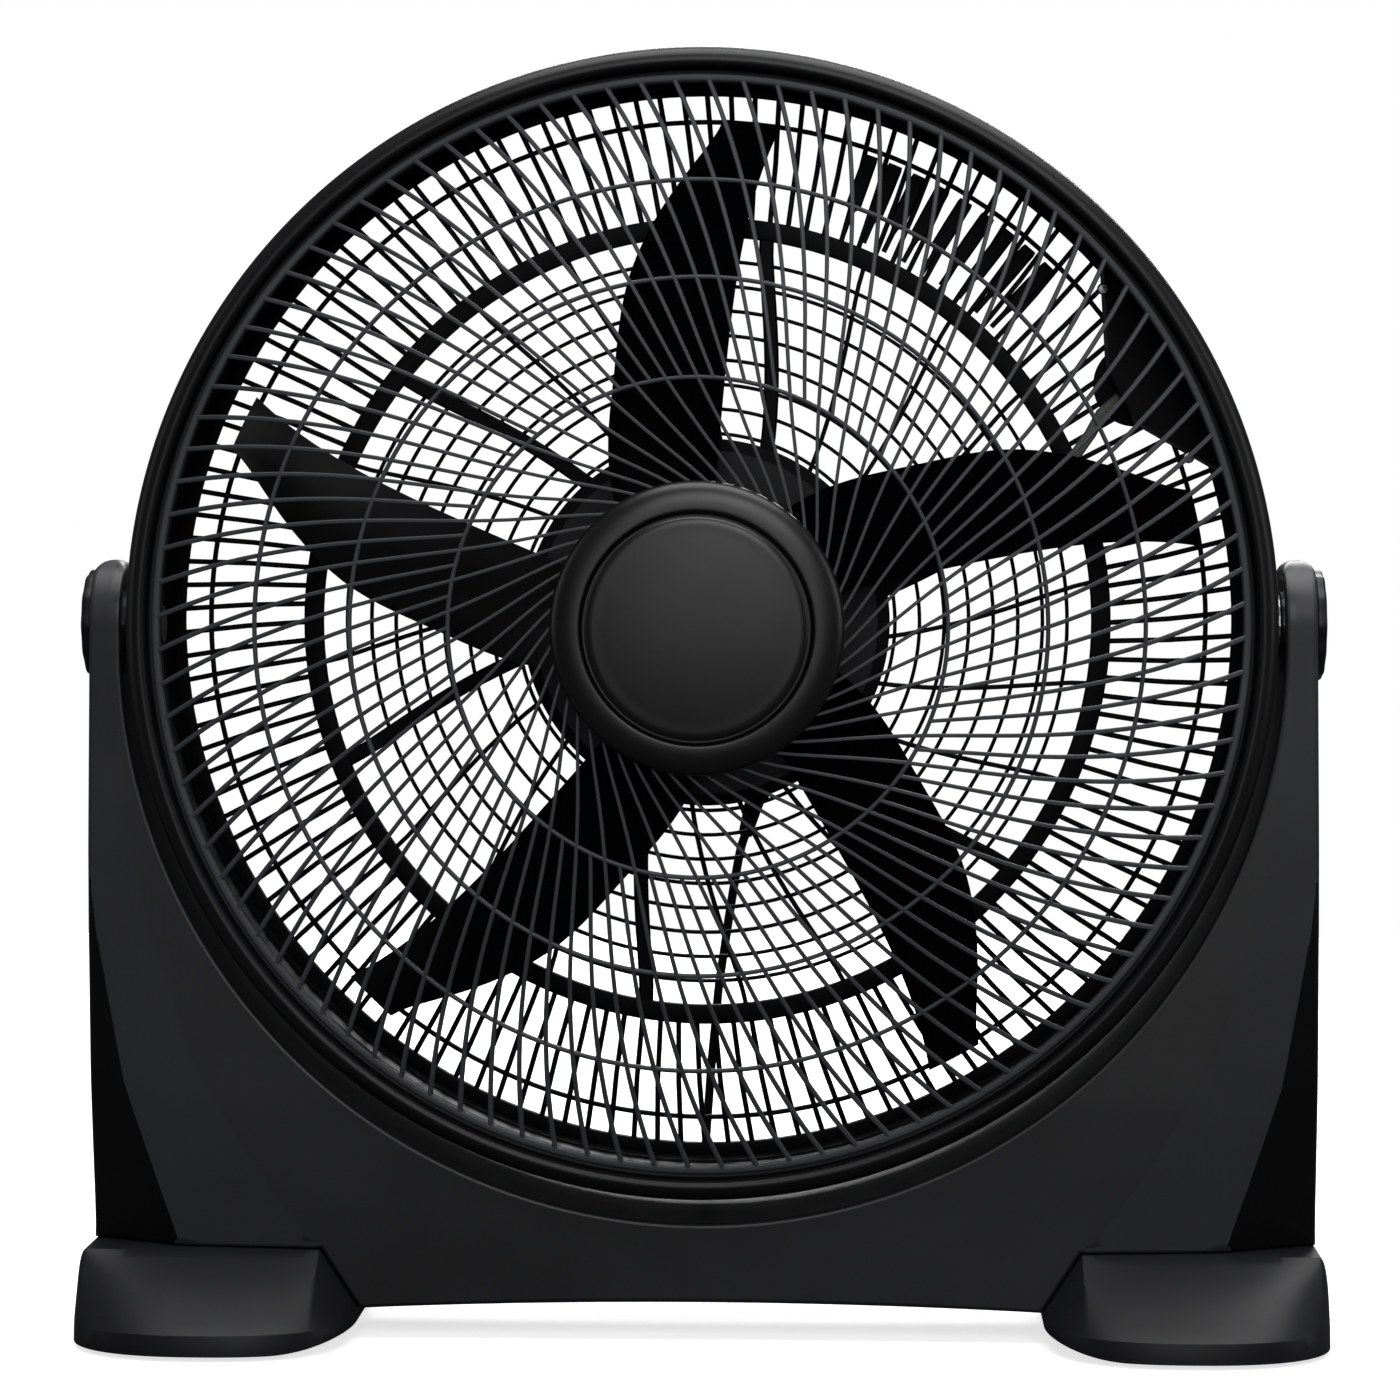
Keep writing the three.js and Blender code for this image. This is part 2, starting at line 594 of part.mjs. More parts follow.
// A thin twisted sheet between the straight edge and the swept edge, given its thickness along y.
function blade(tipAngle) {
  const along = 9;
  const across = 5;
  const span = ROTOR_R - (HUB_R - 2);
  const corners = [];
  for (const face of [-1, 1]) {
    for (let i = 0; i <= along; i += 1) {
      const edge = sweptEdge.getPoint(i / along);
      const part = (edge.x - HUB_R) / span;
      const straight = 2 - 4 * Math.max(part, 0) ** 4;
      const rise = 16 * (1 - 0.75 * Math.max(part, 0) ** 2.5);
      for (let j = 0; j <= across; j += 1) {
        const chord = j / across;
        const [x, z] = polar(edge.x, tipAngle + straight + (edge.y - straight) * chord);
        const camber = 0.18 * rise * Math.sin(Math.PI * chord);
        const y = BLADE_Y + rise * (1 - 2 * chord) + camber + (face * BLADE_THICK) / 2;
        corners.push(x, y, z);
      }
    }
  }
  const row = across + 1;
  const layer = row * (along + 1);
  const triangles = [];
  const quad = (a, b, c, d) => triangles.push(a, b, c, a, c, d);
  for (let i = 0; i < along; i += 1) {
    for (let j = 0; j < across; j += 1) {
      const k = i * row + j;
      quad(k, k + 1, k + row + 1, k + row);
      quad(layer + k, layer + k + row, layer + k + row + 1, layer + k + 1);
    }
    const low = i * row;
    const high = low + across;
    quad(low, low + row, layer + low + row, layer + low);
    quad(high, layer + high, layer + high + row, high + row);
  }
  for (let j = 0; j < across; j += 1) {
    const end = along * row + j;
    quad(j, layer + j, layer + j + 1, j + 1);
    quad(end, end + 1, layer + end + 1, layer + end);
  }
  const geometry = new THREE.BufferGeometry();
  geometry.setAttribute('position', new THREE.Float32BufferAttribute(corners, 3));
  geometry.setIndex(triangles);
  return geometry;
}

function buildImpeller() {
  const front = BLADE_Y - 20;
  const back = BLADE_Y + 15;
  const bore = SHAFT_R + GAP;
  const hub = turnedY([
    [bore, front], [HUB_R - 5, front], [HUB_R, front + 5], [HUB_R, back], [HUB_R - WALL, back],
    [HUB_R - WALL, front + WALL + 2], [10, front + WALL], [10, back], [bore, back], [bore, front],
  ], 32);
  const blades = [];
  for (let i = 0; i < BLADES; i += 1) {
    blades.push(blade(FIRST_TIP + (i * 360) / BLADES));
  }
  place('impeller', join(hub, ...blades), black, HEAD);
  const nut = [
    [0, front - 11], [7, front - 10], [11, front - 6], [12, front - GAP], [bore, front - GAP],
    [bore, front - 8.5], [0, front - 8.5],
  ];
  place('impeller_nut', turnedY(nut, SMALL), black, HEAD);
}

// ---- Switch and wiring -------------------------------------------------------------------------
const SWITCH_BOX_FRONT = 12;
const SWITCH_BOX_BACK = 44;

function switchBoxOutline(inset) {
  const outer = RIM_R - 10 - inset;
  const shape = new THREE.Shape();
  const start = polar(outer, 16 + inset / 2);
  const middle = [polar(237 + inset, 25), polar(237 + inset, 32)];
  const end = polar(outer, 43 - inset / 2);
  shape.moveTo(...start);
  shape.absarc(0, 0, outer, deg(16 + inset / 2), deg(43 - inset / 2), false);
  shape.lineTo(...end);
  shape.lineTo(...middle[1]);
  shape.lineTo(...middle[0]);
  shape.closePath();
  return shape;
}

function buildSwitch() {
  const [x, z] = polar(SWITCH_R, SWITCH_ANGLE);
  const box = frontShape(switchBoxOutline(0), SWITCH_BOX_FRONT, SWITCH_BOX_BACK);
  const room = frontShape(switchBoxOutline(2.5), SWITCH_BOX_FRONT + 2.5, SWITCH_BOX_BACK + 1);
  place('switch_box', cut(box, room), black, HEAD);
  const body = turnedY([
    [0, 20], [6.5, 20], [6.5, 42], [4, 42], [4, REAR_Y + 8], [0, REAR_Y + 8],
  ], SMALL);
  place('speed_switch', body.translate(x, 0, z), sleeveGrey, HEAD);
  const knobFront = REAR_Y + GAP;
  const knob = cut(
    join(
      turnedY([[0, knobFront], [15, knobFront], [14, knobFront + 8], [0, knobFront + 8]], 32),
      frontShape(polygon([[-3, -13], [3, -13], [3, 13], [-3, 13]]), knobFront + 2, knobFront + 16),
    ),
    turnedY(rodProfile(4.4, knobFront - 2, REAR_Y + 9), SMALL),
  );
  place('speed_knob', knob.translate(x, 0, z), capBlack, HEAD);
  [[254, 19], [258, 40]].forEach(([radius, angle], i) => {
    const [sx, sz] = polar(radius, angle);
    const head = turnedY([
      [0, SWITCH_BOX_FRONT - GAP], [3, SWITCH_BOX_FRONT - GAP], [2.2, SWITCH_BOX_FRONT - 1.8],
      [0, SWITCH_BOX_FRONT - 2.1],
    ], 16);
    place(`switch_box_screw_${i + 1}`, head.translate(sx, 0, sz), steel, HEAD);
  });
}

// The sleeved motor lead, from the switch box to the side of the motor.
function buildMotorLead() {
  const stops = [[236, 28.5, 32], [228, 28.3, 32.5], [208, 25, 35], [180, 22, 37], [140, 20, 36.5],
    [95, 18.5, 33], [62, 18, 29.5], [53.8, 18, 29]];
  const route = new THREE.CatmullRomCurve3(stops.map(([radius, angle, y]) => {
    const [x, z] = polar(radius, angle);
    return new THREE.Vector3(x, y, z);
  }));
  place('motor_lead', tube(route, 3, 8, 16), sleeveGrey, HEAD);
}

// ---- Mains cord --------------------------------------------------------------------------------
const GLAND_TOP = new THREE.Vector3(27, 66, PIVOT_Z - 82);
const GLAND_WAY = new THREE.Vector3(-0.26, 0.28, -0.92).normalize();
const GLAND_LENGTH = 30;

function buildGland() {
  const body = turnedY([
    [0, 0], [6.5, 0], [6.5, 9], [5, 10], [3.6, GLAND_LENGTH], [0, GLAND_LENGTH],
  ], SMALL);
  const turn = new THREE.Quaternion().setFromUnitVectors(new THREE.Vector3(0, 1, 0), GLAND_WAY);
  body.applyQuaternion(turn).translate(...GLAND_TOP);
  const cover = turnedY(rodProfile(COVER_R + GAP, REAR_Y, COVER_Y), 48).translate(0, 0, PIVOT_Z);
  place('cord_gland', cut(body, cover), rubber);
}

// The hanging cord, the coil that lies behind the base, the tail and the plug.
function buildCord() {
  const lie = CORD_D / 2 + GAP;
  const exit = GLAND_TOP.clone().addScaledVector(GLAND_WAY, GLAND_LENGTH + GAP);
  const after = exit.clone().addScaledVector(GLAND_WAY, 12);
  const hang = [
    [11, 86, 200], [8, 90, 180], [5, 94, 160], [3, 97.5, 140], [1, 101, 120], [-0.6, 104.4, 100],
    [-2, 108, 82], [-3, 111.6, 65], [-4, 116, 48], [-4.5, 121, 34], [-5, 127.5, 21], [-5.5, 136, 9.8],
    [-6, 146, lie + 1], [-7, 162, lie], [-9.2, 178, lie],
  ];
  const route = new THREE.CatmullRomCurve3([
    exit, after, ...hang.map((point) => new THREE.Vector3(...point)),
  ]);
  place('cord', tube(route, CORD_D / 2, 8, 34), rubber);

  const bundle = COIL_TURNS_DEEP * CORD_D;
  const ring = ringProfile(COIL_R - bundle / 2, COIL_R + bundle / 2, 0, bundle);
  place('cord_coil', turnedZ(ring, 32), rubber, [COIL.x, COIL.y, 0]);

  const plugX = COIL.x + COIL_R + bundle / 2 + GAP + 1;
  const tailStart = new THREE.Vector3(plugX + 1.6, COIL.y, lie);
  const tail = new THREE.CatmullRomCurve3([
    tailStart, tailStart.clone().add(new THREE.Vector3(0, -10, 0)),
    tailStart.clone().add(new THREE.Vector3(1, -24, 2)),
  ]);
  place('cord_tail', tube(tail, CORD_D / 2, 8, 6), rubber);
  const plugBody = new THREE.BoxGeometry(20, 28, 12).translate(0, -14, 6);
  const pin = (x) => new THREE.BoxGeometry(1.6, 18, 6.3).translate(x, -36, 6);
  const plug = join(plugBody, pin(-6.3), pin(6.3));
  place('plug', plug, rubber, [plugX + 2.6, COIL.y - 24.4, 0]);
}

buildYoke();
buildFeet();
buildBaseScrews();
buildDrum();
buildPivots();
buildFrontGuard();
buildCap();
buildRearGuard();
buildMotor();
buildImpeller();
buildSwitch();
buildMotorLead();
buildGland();
buildCord();

export default fan;
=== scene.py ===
"""A round drum floor fan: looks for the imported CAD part. Metres, +Z up, the front faces -Y."""
import math

import bmesh
import bpy
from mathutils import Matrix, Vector


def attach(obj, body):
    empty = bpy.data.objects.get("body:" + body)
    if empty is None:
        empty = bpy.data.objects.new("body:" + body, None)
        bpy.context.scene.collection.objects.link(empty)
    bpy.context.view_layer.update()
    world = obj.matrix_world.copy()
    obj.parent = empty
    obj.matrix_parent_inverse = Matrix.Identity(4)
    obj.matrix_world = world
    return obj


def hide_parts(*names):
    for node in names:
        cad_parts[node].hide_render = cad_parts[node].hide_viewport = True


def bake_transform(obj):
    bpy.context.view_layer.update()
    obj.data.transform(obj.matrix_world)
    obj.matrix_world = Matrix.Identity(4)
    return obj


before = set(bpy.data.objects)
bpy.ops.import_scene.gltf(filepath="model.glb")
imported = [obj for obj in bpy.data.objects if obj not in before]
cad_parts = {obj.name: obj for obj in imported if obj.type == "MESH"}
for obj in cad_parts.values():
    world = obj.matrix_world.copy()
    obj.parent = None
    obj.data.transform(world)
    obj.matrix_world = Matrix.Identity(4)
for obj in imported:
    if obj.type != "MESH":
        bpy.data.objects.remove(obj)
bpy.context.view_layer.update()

# ---- Driving dimensions, in metres ---------------------------------------------------------------
MM = 0.001
PIVOT_Z = 350 * MM          # height of the tilt axis, where the head is centred
GAP = 0.3 * MM              # clearance between touching pieces

RIM_R = 280 * MM
DRUM_Y = 50 * MM            # half the depth of the drum
DRUM_WALL = 3.4 * MM
BOSS_BORE_R = 5.2 * MM      # hole for the pivot bolt in the drum's side and in the knob

GUARD_R = 266.4 * MM
GUARD_INNER_R = 262.6 * MM
GUARD_RINGS = [215 * MM, 168 * MM, 120 * MM]
GUARD_BACK_Y = -41.8 * MM
GUARD_THICK = 4 * MM
GUARD_DOME = 22 * MM        # how far the guard's middle stands out from its rim
GUARD_SPOKES = 100
GUARD_BAR_DEEP = 3.4 * MM   # front to back, for the spokes and the thin rings
CAP_R = 70.7 * MM
CAP_HIGH = 8.6 * MM         # from the guard to the seat of the cap's disc
DISC_R = 53.6 * MM
DISC_HIGH = 5.2 * MM

REAR_FRONT_Y = 45 * MM
REAR_BACK_Y = 50 * MM
REAR_MIDDLE_Y = (REAR_FRONT_Y + REAR_BACK_Y) / 2
REAR_R = 272 * MM
REAR_RING_IN = 194.5 * MM
REAR_RING_OUT = 204.3 * MM
REAR_OUTER_RING = 252 * MM
REAR_RING_PITCH = 12.4 * MM
REAR_RINGS = 8
REAR_HUB_R = 96 * MM
REAR_HOLE_R = 78 * MM
REAR_OUTER_SPOKES = 138
REAR_RIBS = 24
REAR_FIRST_RIB = 21
REAR_SWEEP = 10             # degrees that a rib sweeps back between the heavy ring and the hub
REAR_RIB_DEEP = 4.4 * MM
SLATS = 9
SLAT_ANGLES = (46, 70.5)

ROTOR_R = 248 * MM
BLADES = 5
FIRST_TIP = 11              # angle of the first blade's straight edge
BLADE_Y = -5 * MM
HUB_R = 42 * MM
HUB_BORE_R = 4.3 * MM

MOTOR_COVER_R = 89 * MM
MOTOR_COVER_Y = 90 * MM
COVER_RIBS = 24

ARM_IN = 284 * MM
ARM_OUT = 300 * MM
ARM_TOP = 32 * MM           # from the tilt axis to the arm's top, and half the arm's depth there
ARM_ROUND = 7 * MM
BASE_OUT = 303 * MM
BASE_Y = 38 * MM            # half the depth of the base's foot
BASE_EDGE = 2.2 * MM        # radius of the base's front and rear edges
CRADLE_Z = PIVOT_Z - 8 * MM     # centre of the round cradle that the drum hangs in
FOOT_TOP = 44 * MM
FOOT_LIP = 12 * MM
FOOT_LOW = 2 * MM
FOOT_IN = 167 * MM
FOOT_OUT = 306.3 * MM
FOOT_SHOULDER = 186 * MM
FOOT_FLAT = 206 * MM
FOOT_Y = 94.6 * MM
FOOT_END = 4.5 * MM         # length of the rounding at the foot's outer end
FOOT_ROUND = 2.4            # power of the foot's oval: 2 is an ellipse
FOOT_WALL = 3 * MM
FOOT_MID = (FOOT_IN + MM + FOOT_OUT) / 2
FOOT_HALF = FOOT_OUT - FOOT_MID
PANEL_LOW = 15 * MM
PANEL_ARCH = 4 * MM         # how much higher the base's lower edge is at the middle

SWITCH_R = 247 * MM
SWITCH_ANGLE = 29

KNOB_R = 27 * MM
KNOB_OUT = 305.4 * MM
KNOB_FLUTES = 12
FLUTE_DEPTH = 1.1 * MM

CORD_D = 4.6 * MM
COIL_R = 26 * MM

AXIS = 0.1 * MM             # the smallest radius of a turned profile, next to its axis
HEAD = Vector((0, 0, PIVOT_Z))
FRONT_TO_BACK = Vector((0, 1, 0))


# ---- Small mesh tools ----------------------------------------------------------------------------
def polar(radius, angle):
    """The two coordinates of a point at a radius and at an angle in degrees."""
    return radius * math.cos(math.radians(angle)), radius * math.sin(math.radians(angle))


def new_object(name, vertices, faces, smooth_angle=35):
    """A mesh object whose faces look smooth where they meet at less than smooth_angle degrees."""
    mesh = bpy.data.meshes.new(name)
    mesh.from_pydata([tuple(v) for v in vertices], [], faces)
    mesh.validate()
    finish_normals(mesh, smooth_angle)
    thing = bpy.data.objects.new(name, mesh)
    bpy.context.scene.collection.objects.link(thing)
    return thing


def finish_normals(mesh, smooth_angle):
    """Turns all faces outwards and marks the edges that stay sharp."""
    work = bmesh.new()
    work.from_mesh(mesh)
    bmesh.ops.recalc_face_normals(work, faces=work.faces)
    work.to_mesh(mesh)
    work.free()
    mesh.polygons.foreach_set("use_smooth", [True] * len(mesh.polygons))
    mesh.set_sharp_from_angle(angle=math.radians(smooth_angle))


class Builder:
    """Collects vertices and faces of several closed bodies for one object."""

    def __init__(self):
        self.vertices = []
        self.faces = []

    def grid(self, rows, close_rows=False, cap_ends=False):
        """Joins rows of points, each row a closed loop, into a skin."""
        start = len(self.vertices)
        wide = len(rows[0])
        for row in rows:
            self.vertices.extend(row)
        count = len(rows)
        for i in range(count if close_rows else count - 1):
            here = start + i * wide
            there = start + ((i + 1) % count) * wide
            for j in range(wide):
                k = (j + 1) % wide
                self.faces.append((here + j, here + k, there + k, there + j))
        if cap_ends:
            self.faces.append(tuple(start + j for j in reversed(range(wide))))
            last = start + (count - 1) * wide
            self.faces.append(tuple(last + j for j in range(wide)))

    def turned(self, profile, segments, centre=HEAD, axis="y"):
        """Turns a closed profile of (radius, height) pairs about the y or x axis through the centre."""
        rows = []
        for i in range(segments):
            angle = 360 * i / segments
            row = []
            for radius, height in profile:
                a, b = polar(radius, angle)
                spot = (height, a, b) if axis == "x" else (a, height, b)
                row.append(centre + Vector(spot))
            rows.append(row)
        self.grid(rows, close_rows=True)

    def bar(self, path, widths, depth):
        """A bar along a path with a rounded section: widths across, depth from front to back."""
        rows = []
        for i, point in enumerate(path):
            ahead = path[min(i + 1, len(path) - 1)] - path[max(i - 1, 0)]
            across = ahead.cross(FRONT_TO_BACK).normalized()
            half = widths[i] / 2
            soft = min(half, depth / 2) * 0.45
            row = []
            for a, b in (
                (half, -depth / 2 + soft), (half, depth / 2 - soft), (half - soft, depth / 2),
                (soft - half, depth / 2), (-half, depth / 2 - soft), (-half, -depth / 2 + soft),
                (soft - half, -depth / 2), (half - soft, -depth / 2),
            ):
                row.append(point + across * a + FRONT_TO_BACK * b)
            rows.append(row)
        self.grid(rows, cap_ends=True)

    def make(self, name, smooth_angle=35):
        return new_object(name, self.vertices, self.faces, smooth_angle)


def rounded(profile, radius, steps=4):
    """Rounds the corners of a closed profile of (radius, height) pairs, except those on the axis."""
    out = []
    count = len(profile)
    for i in range(count):
        before = Vector(profile[i - 1])
        here = Vector(profile[i])
        if here.x < MM:
            out.append((here.x, here.y))
            continue
        after = Vector(profile[(i + 1) % count])
        to_before = before - here
        to_after = after - here
        reach = min(radius, to_before.length * 0.45, to_after.length * 0.45)
        start = here + to_before.normalized() * reach
        end = here + to_after.normalized() * reach
        for k in range(steps + 1):
            t = k / steps
            point = start * (1 - t) ** 2 + here * (2 * t * (1 - t)) + end * t ** 2
            out.append((point.x, point.y))
    return out


def ring_section(inner, outer, front, back):
    """Profile of a flat ring, as (radius, height) pairs."""
    return [(inner, back), (inner, front), (outer, front), (outer, back)]


def show(thing, body, slot, material, *nodes):
    """Gives a piece its material and body, and hides the CAD nodes that it stands for."""
    thing.data.materials.clear()
    thing.data.materials.append(material)
    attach(thing, body)
    if nodes:
        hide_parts(*nodes)
    return thing


# ---- Camera, sky, floor and lights ---------------------------------------------------------------
def aim(thing, target):
    """Turns a camera or a light towards a target."""
    way = Vector(target) - thing.location
    thing.rotation_euler = way.to_track_quat("-Z", "Y").to_euler()


def make_camera():
    lens = bpy.data.cameras.new("camera")
    camera = bpy.data.objects.new("camera", lens)
    bpy.context.scene.collection.objects.link(camera)
    camera.location = (0.078, -2.0, 0.402)
    aim(camera, (0, -0.03, 0.314))
    lens.lens = 104
    lens.clip_end = 100
    bpy.context.scene.camera = camera


def make_sky():
    """A white backdrop for the camera, and a faint even light for everything else."""
    world = bpy.data.worlds.new("studio")
    bpy.context.scene.world = world
    world.use_nodes = True
    nodes, links = world.node_tree.nodes, world.node_tree.links
    nodes.clear()
    rays = nodes.new("ShaderNodeLightPath")
    seen = nodes.new("ShaderNodeBackground")
    seen.inputs["Strength"].default_value = 1.0
    seen.inputs["Color"].default_value = (1, 1, 1, 1)
    felt = nodes.new("ShaderNodeBackground")
    felt.inputs["Strength"].default_value = 0.06
    felt.inputs["Color"].default_value = (0.94, 0.97, 1, 1)
    mix = nodes.new("ShaderNodeMixShader")
    out = nodes.new("ShaderNodeOutputWorld")
    links.new(rays.outputs["Is Camera Ray"], mix.inputs[0])
    links.new(felt.outputs[0], mix.inputs[1])
    links.new(seen.outputs[0], mix.inputs[2])
    links.new(mix.outputs[0], out.inputs["Surface"])
    bpy.context.scene.view_settings.view_transform = "Standard"


def make_floor():
    """A white floor that the camera sees bright and that throws little light back up."""
    reach = 1.9
    corners = [(-reach, -reach, 0), (reach, -reach, 0), (reach, reach, 0), (-reach, reach, 0)]
    floor = new_object("floor", corners, [(0, 1, 2, 3)])
    floor.location.z = -0.5 * MM
    paint = bpy.data.materials.new("floor_paint")
    paint.use_nodes = True
    nodes, links = paint.node_tree.nodes, paint.node_tree.links
    shader = nodes["Principled BSDF"]
    shader.inputs["Base Color"].default_value = (0.92, 0.92, 0.92, 1)
    shader.inputs["Roughness"].default_value = 0.9
    shader.inputs["Emission Color"].default_value = (1, 1, 1, 1)
    shader.inputs["Emission Strength"].default_value = 0.72
    dim = nodes.new("ShaderNodeBsdfDiffuse")
    dim.inputs["Color"].default_value = (0.06, 0.06, 0.063, 1)
    rays = nodes.new("ShaderNodeLightPath")
    mix = nodes.new("ShaderNodeMixShader")
    links.new(rays.outputs["Is Camera Ray"], mix.inputs[0])
    links.new(dim.outputs[0], mix.inputs[1])
    links.new(shader.outputs[0], mix.inputs[2])
    links.new(mix.outputs[0], nodes["Material Output"].inputs["Surface"])
    floor.data.materials.append(paint)


def softbox(name, place, target, size, power, tall=None):
    """A rectangular light; its height is tall, or its size when that is left out."""
    light = bpy.data.lights.new(name, "AREA")
    light.shape = "RECTANGLE"
    light.size = size
    light.size_y = tall or size
    light.energy = power
    thing = bpy.data.objects.new(name, light)
    thing.location = place
    bpy.context.scene.collection.objects.link(thing)
    aim(thing, target)


def make_lights():
    softbox("overhead", (0.3, 0.0, 3.2), (0, 0, 0.2), 3.0, 110)
    softbox("front_top", (0.35, -2.5, 1.75), (0, 0, 0.35), 1.8, 22, 1.0)
    softbox("front_card", (0.1, -3.3, 0.75), (0, 0, 0.3), 1.6, 8, 1.3)
    softbox("back_rim", (0.3, 2.4, 1.75), (0, 0, 0.4), 1.8, 40, 0.8)
    softbox("left_strip", (-2.2, -0.3, 0.9), (0, 0, 0.35), 0.7, 2.5, 1.6)
    softbox("right_strip", (2.4, -0.5, 1.0), (0, 0, 0.35), 0.7, 6, 1.6)


# ---- Materials -----------------------------------------------------------------------------------
def moulded(name, colour, roughness, grain=0.12, grain_scale=900, metallic=0.0, vary=0.18, shine=0.3):
    """Plastic, paint or metal: two close tones, uneven gloss and a fine grain."""
    material = bpy.data.materials.new(name)
    material.use_nodes = True
    nodes, links = material.node_tree.nodes, material.node_tree.links
    shader = nodes["Principled BSDF"]
    place = nodes.new("ShaderNodeTexCoord")

    cloud = nodes.new("ShaderNodeTexNoise")
    cloud.inputs["Scale"].default_value = 9
    cloud.inputs["Detail"].default_value = 4
    links.new(place.outputs["Object"], cloud.inputs["Vector"])
    tones = nodes.new("ShaderNodeValToRGB")
    tones.color_ramp.elements[0].position = 0.35
    tones.color_ramp.elements[1].position = 0.7
    tones.color_ramp.elements[0].color = (*[c * (1 - vary) for c in colour], 1)
    tones.color_ramp.elements[1].color = (*[c * (1 + vary) for c in colour], 1)
    links.new(cloud.outputs["Fac"], tones.inputs["Fac"])
    links.new(tones.outputs["Color"], shader.inputs["Base Color"])

    smear = nodes.new("ShaderNodeTexNoise")
    smear.inputs["Scale"].default_value = 38
    smear.inputs["Detail"].default_value = 6
    links.new(place.outputs["Object"], smear.inputs["Vector"])
    gloss = nodes.new("ShaderNodeMapRange")
    gloss.inputs["To Min"].default_value = max(roughness - 0.07, 0.05)
    gloss.inputs["To Max"].default_value = min(roughness + 0.07, 1)
    links.new(smear.outputs["Fac"], gloss.inputs["Value"])
    links.new(gloss.outputs["Result"], shader.inputs["Roughness"])

    pebble = nodes.new("ShaderNodeTexNoise")
    pebble.inputs["Scale"].default_value = grain_scale
    pebble.inputs["Detail"].default_value = 2
    links.new(place.outputs["Object"], pebble.inputs["Vector"])
    bump = nodes.new("ShaderNodeBump")
    bump.inputs["Strength"].default_value = grain
    bump.inputs["Distance"].default_value = 0.3 * MM
    links.new(pebble.outputs["Fac"], bump.inputs["Height"])
    links.new(bump.outputs["Normal"], shader.inputs["Normal"])
    shader.inputs["Metallic"].default_value = metallic
    shader.inputs["Specular IOR Level"].default_value = shine
    return material


def braided(name, colour):
    """A woven sleeve: two crossing sets of fine threads."""
    material = moulded(name, colour, 0.75, grain=0.3, grain_scale=1400)
    nodes, links = material.node_tree.nodes, material.node_tree.links
    weave = nodes.new("ShaderNodeTexWave")
    weave.inputs["Scale"].default_value = 260
    weave.inputs["Distortion"].default_value = 1.5
    place = nodes["Texture Coordinate"]
    links.new(place.outputs["Object"], weave.inputs["Vector"])
    links.new(weave.outputs["Fac"], nodes["Bump"].inputs["Height"])
    return material


SHELL = moulded("charcoal_shell", (0.0130, 0.0138, 0.0160), 0.40,
                grain=0.10, grain_scale=1500, vary=0.35, shine=0.5)
# Lighter copy of the shell: painted highlight on the middle facet of the base's front, past its inner
# crease.
PAINTED_HIGHLIGHT_FACET = moulded("charcoal_facet_painted_highlight", (0.0270, 0.0285, 0.0320), 0.44,
                grain=0.10, grain_scale=1500, vary=0.2, shine=0.5)
# Darker copy of the shell: painted shade on the outer facet of the base's front, past its outer crease.
PAINTED_SHADE_CORNER = moulded("charcoal_corner_painted_shade", (0.0035, 0.0036, 0.0044), 0.36, grain=0.06, grain_scale=1500, shine=0.2)
# Darker copy of the shell for the feet: painted shade, the feet made blacker than the base panel.
SHADED_FOOT = moulded("charcoal_foot_painted_shade", (0.0095, 0.0100, 0.0118), 0.42,
               grain=0.08, grain_scale=1500, vary=0.35, shine=0.3)
# Darker copy of the shell for the drum: painted shade, the drum's plastic made blacker than the base's.
SHADED_DRUM = moulded("drum_shell_painted_shade", (0.0050, 0.0052, 0.0062), 0.38, grain=0.08, grain_scale=1500, shine=0.36)
GUARD = moulded("graphite_guard", (0.050, 0.053, 0.058), 0.45, grain=0.08, grain_scale=1200, shine=0.4)
BLACK = moulded("black_guard", (0.0022, 0.0021, 0.0022), 0.45, grain=0.08, grain_scale=1200, shine=0.1)
CAP = moulded("cap_plastic", (0.0030, 0.0030, 0.0032), 0.34, grain=0.05, grain_scale=1800, shine=0.6)
BLADE = moulded("blade_plastic", (0.0019, 0.0015, 0.0013), 0.30, grain=0.05, shine=0.09)
PAINT = moulded("motor_paint", (0.005, 0.005, 0.0055), 0.4, grain=0.06, grain_scale=700)
STEEL = moulded("zinc_steel", (0.52, 0.53, 0.55), 0.3, grain=0.05, grain_scale=600, metallic=1.0, vary=0.08)
BOLT = moulded("blackened_steel", (0.05, 0.05, 0.052), 0.4,
               grain=0.05, grain_scale=600, metallic=1.0, vary=0.1)
LAMINATION = moulded("laminations", (0.22, 0.22, 0.23), 0.5, grain=0.2, grain_scale=500, metallic=1.0)
RUBBER = moulded("rubber", (0.006, 0.006, 0.006), 0.8, grain=0.25, grain_scale=1500, shine=0.2)
CORD = moulded("cord_jacket", (0.006, 0.006, 0.006), 0.5, grain=0.08, grain_scale=1500)
SLEEVE = braided("grey_sleeve", (0.26, 0.27, 0.25))
SWITCH = moulded("switch_plastic", (0.10, 0.10, 0.105), 0.5)
KNOB = moulded("knob_plastic", (0.007, 0.007, 0.008), 0.42, grain=0.1, grain_scale=1300)

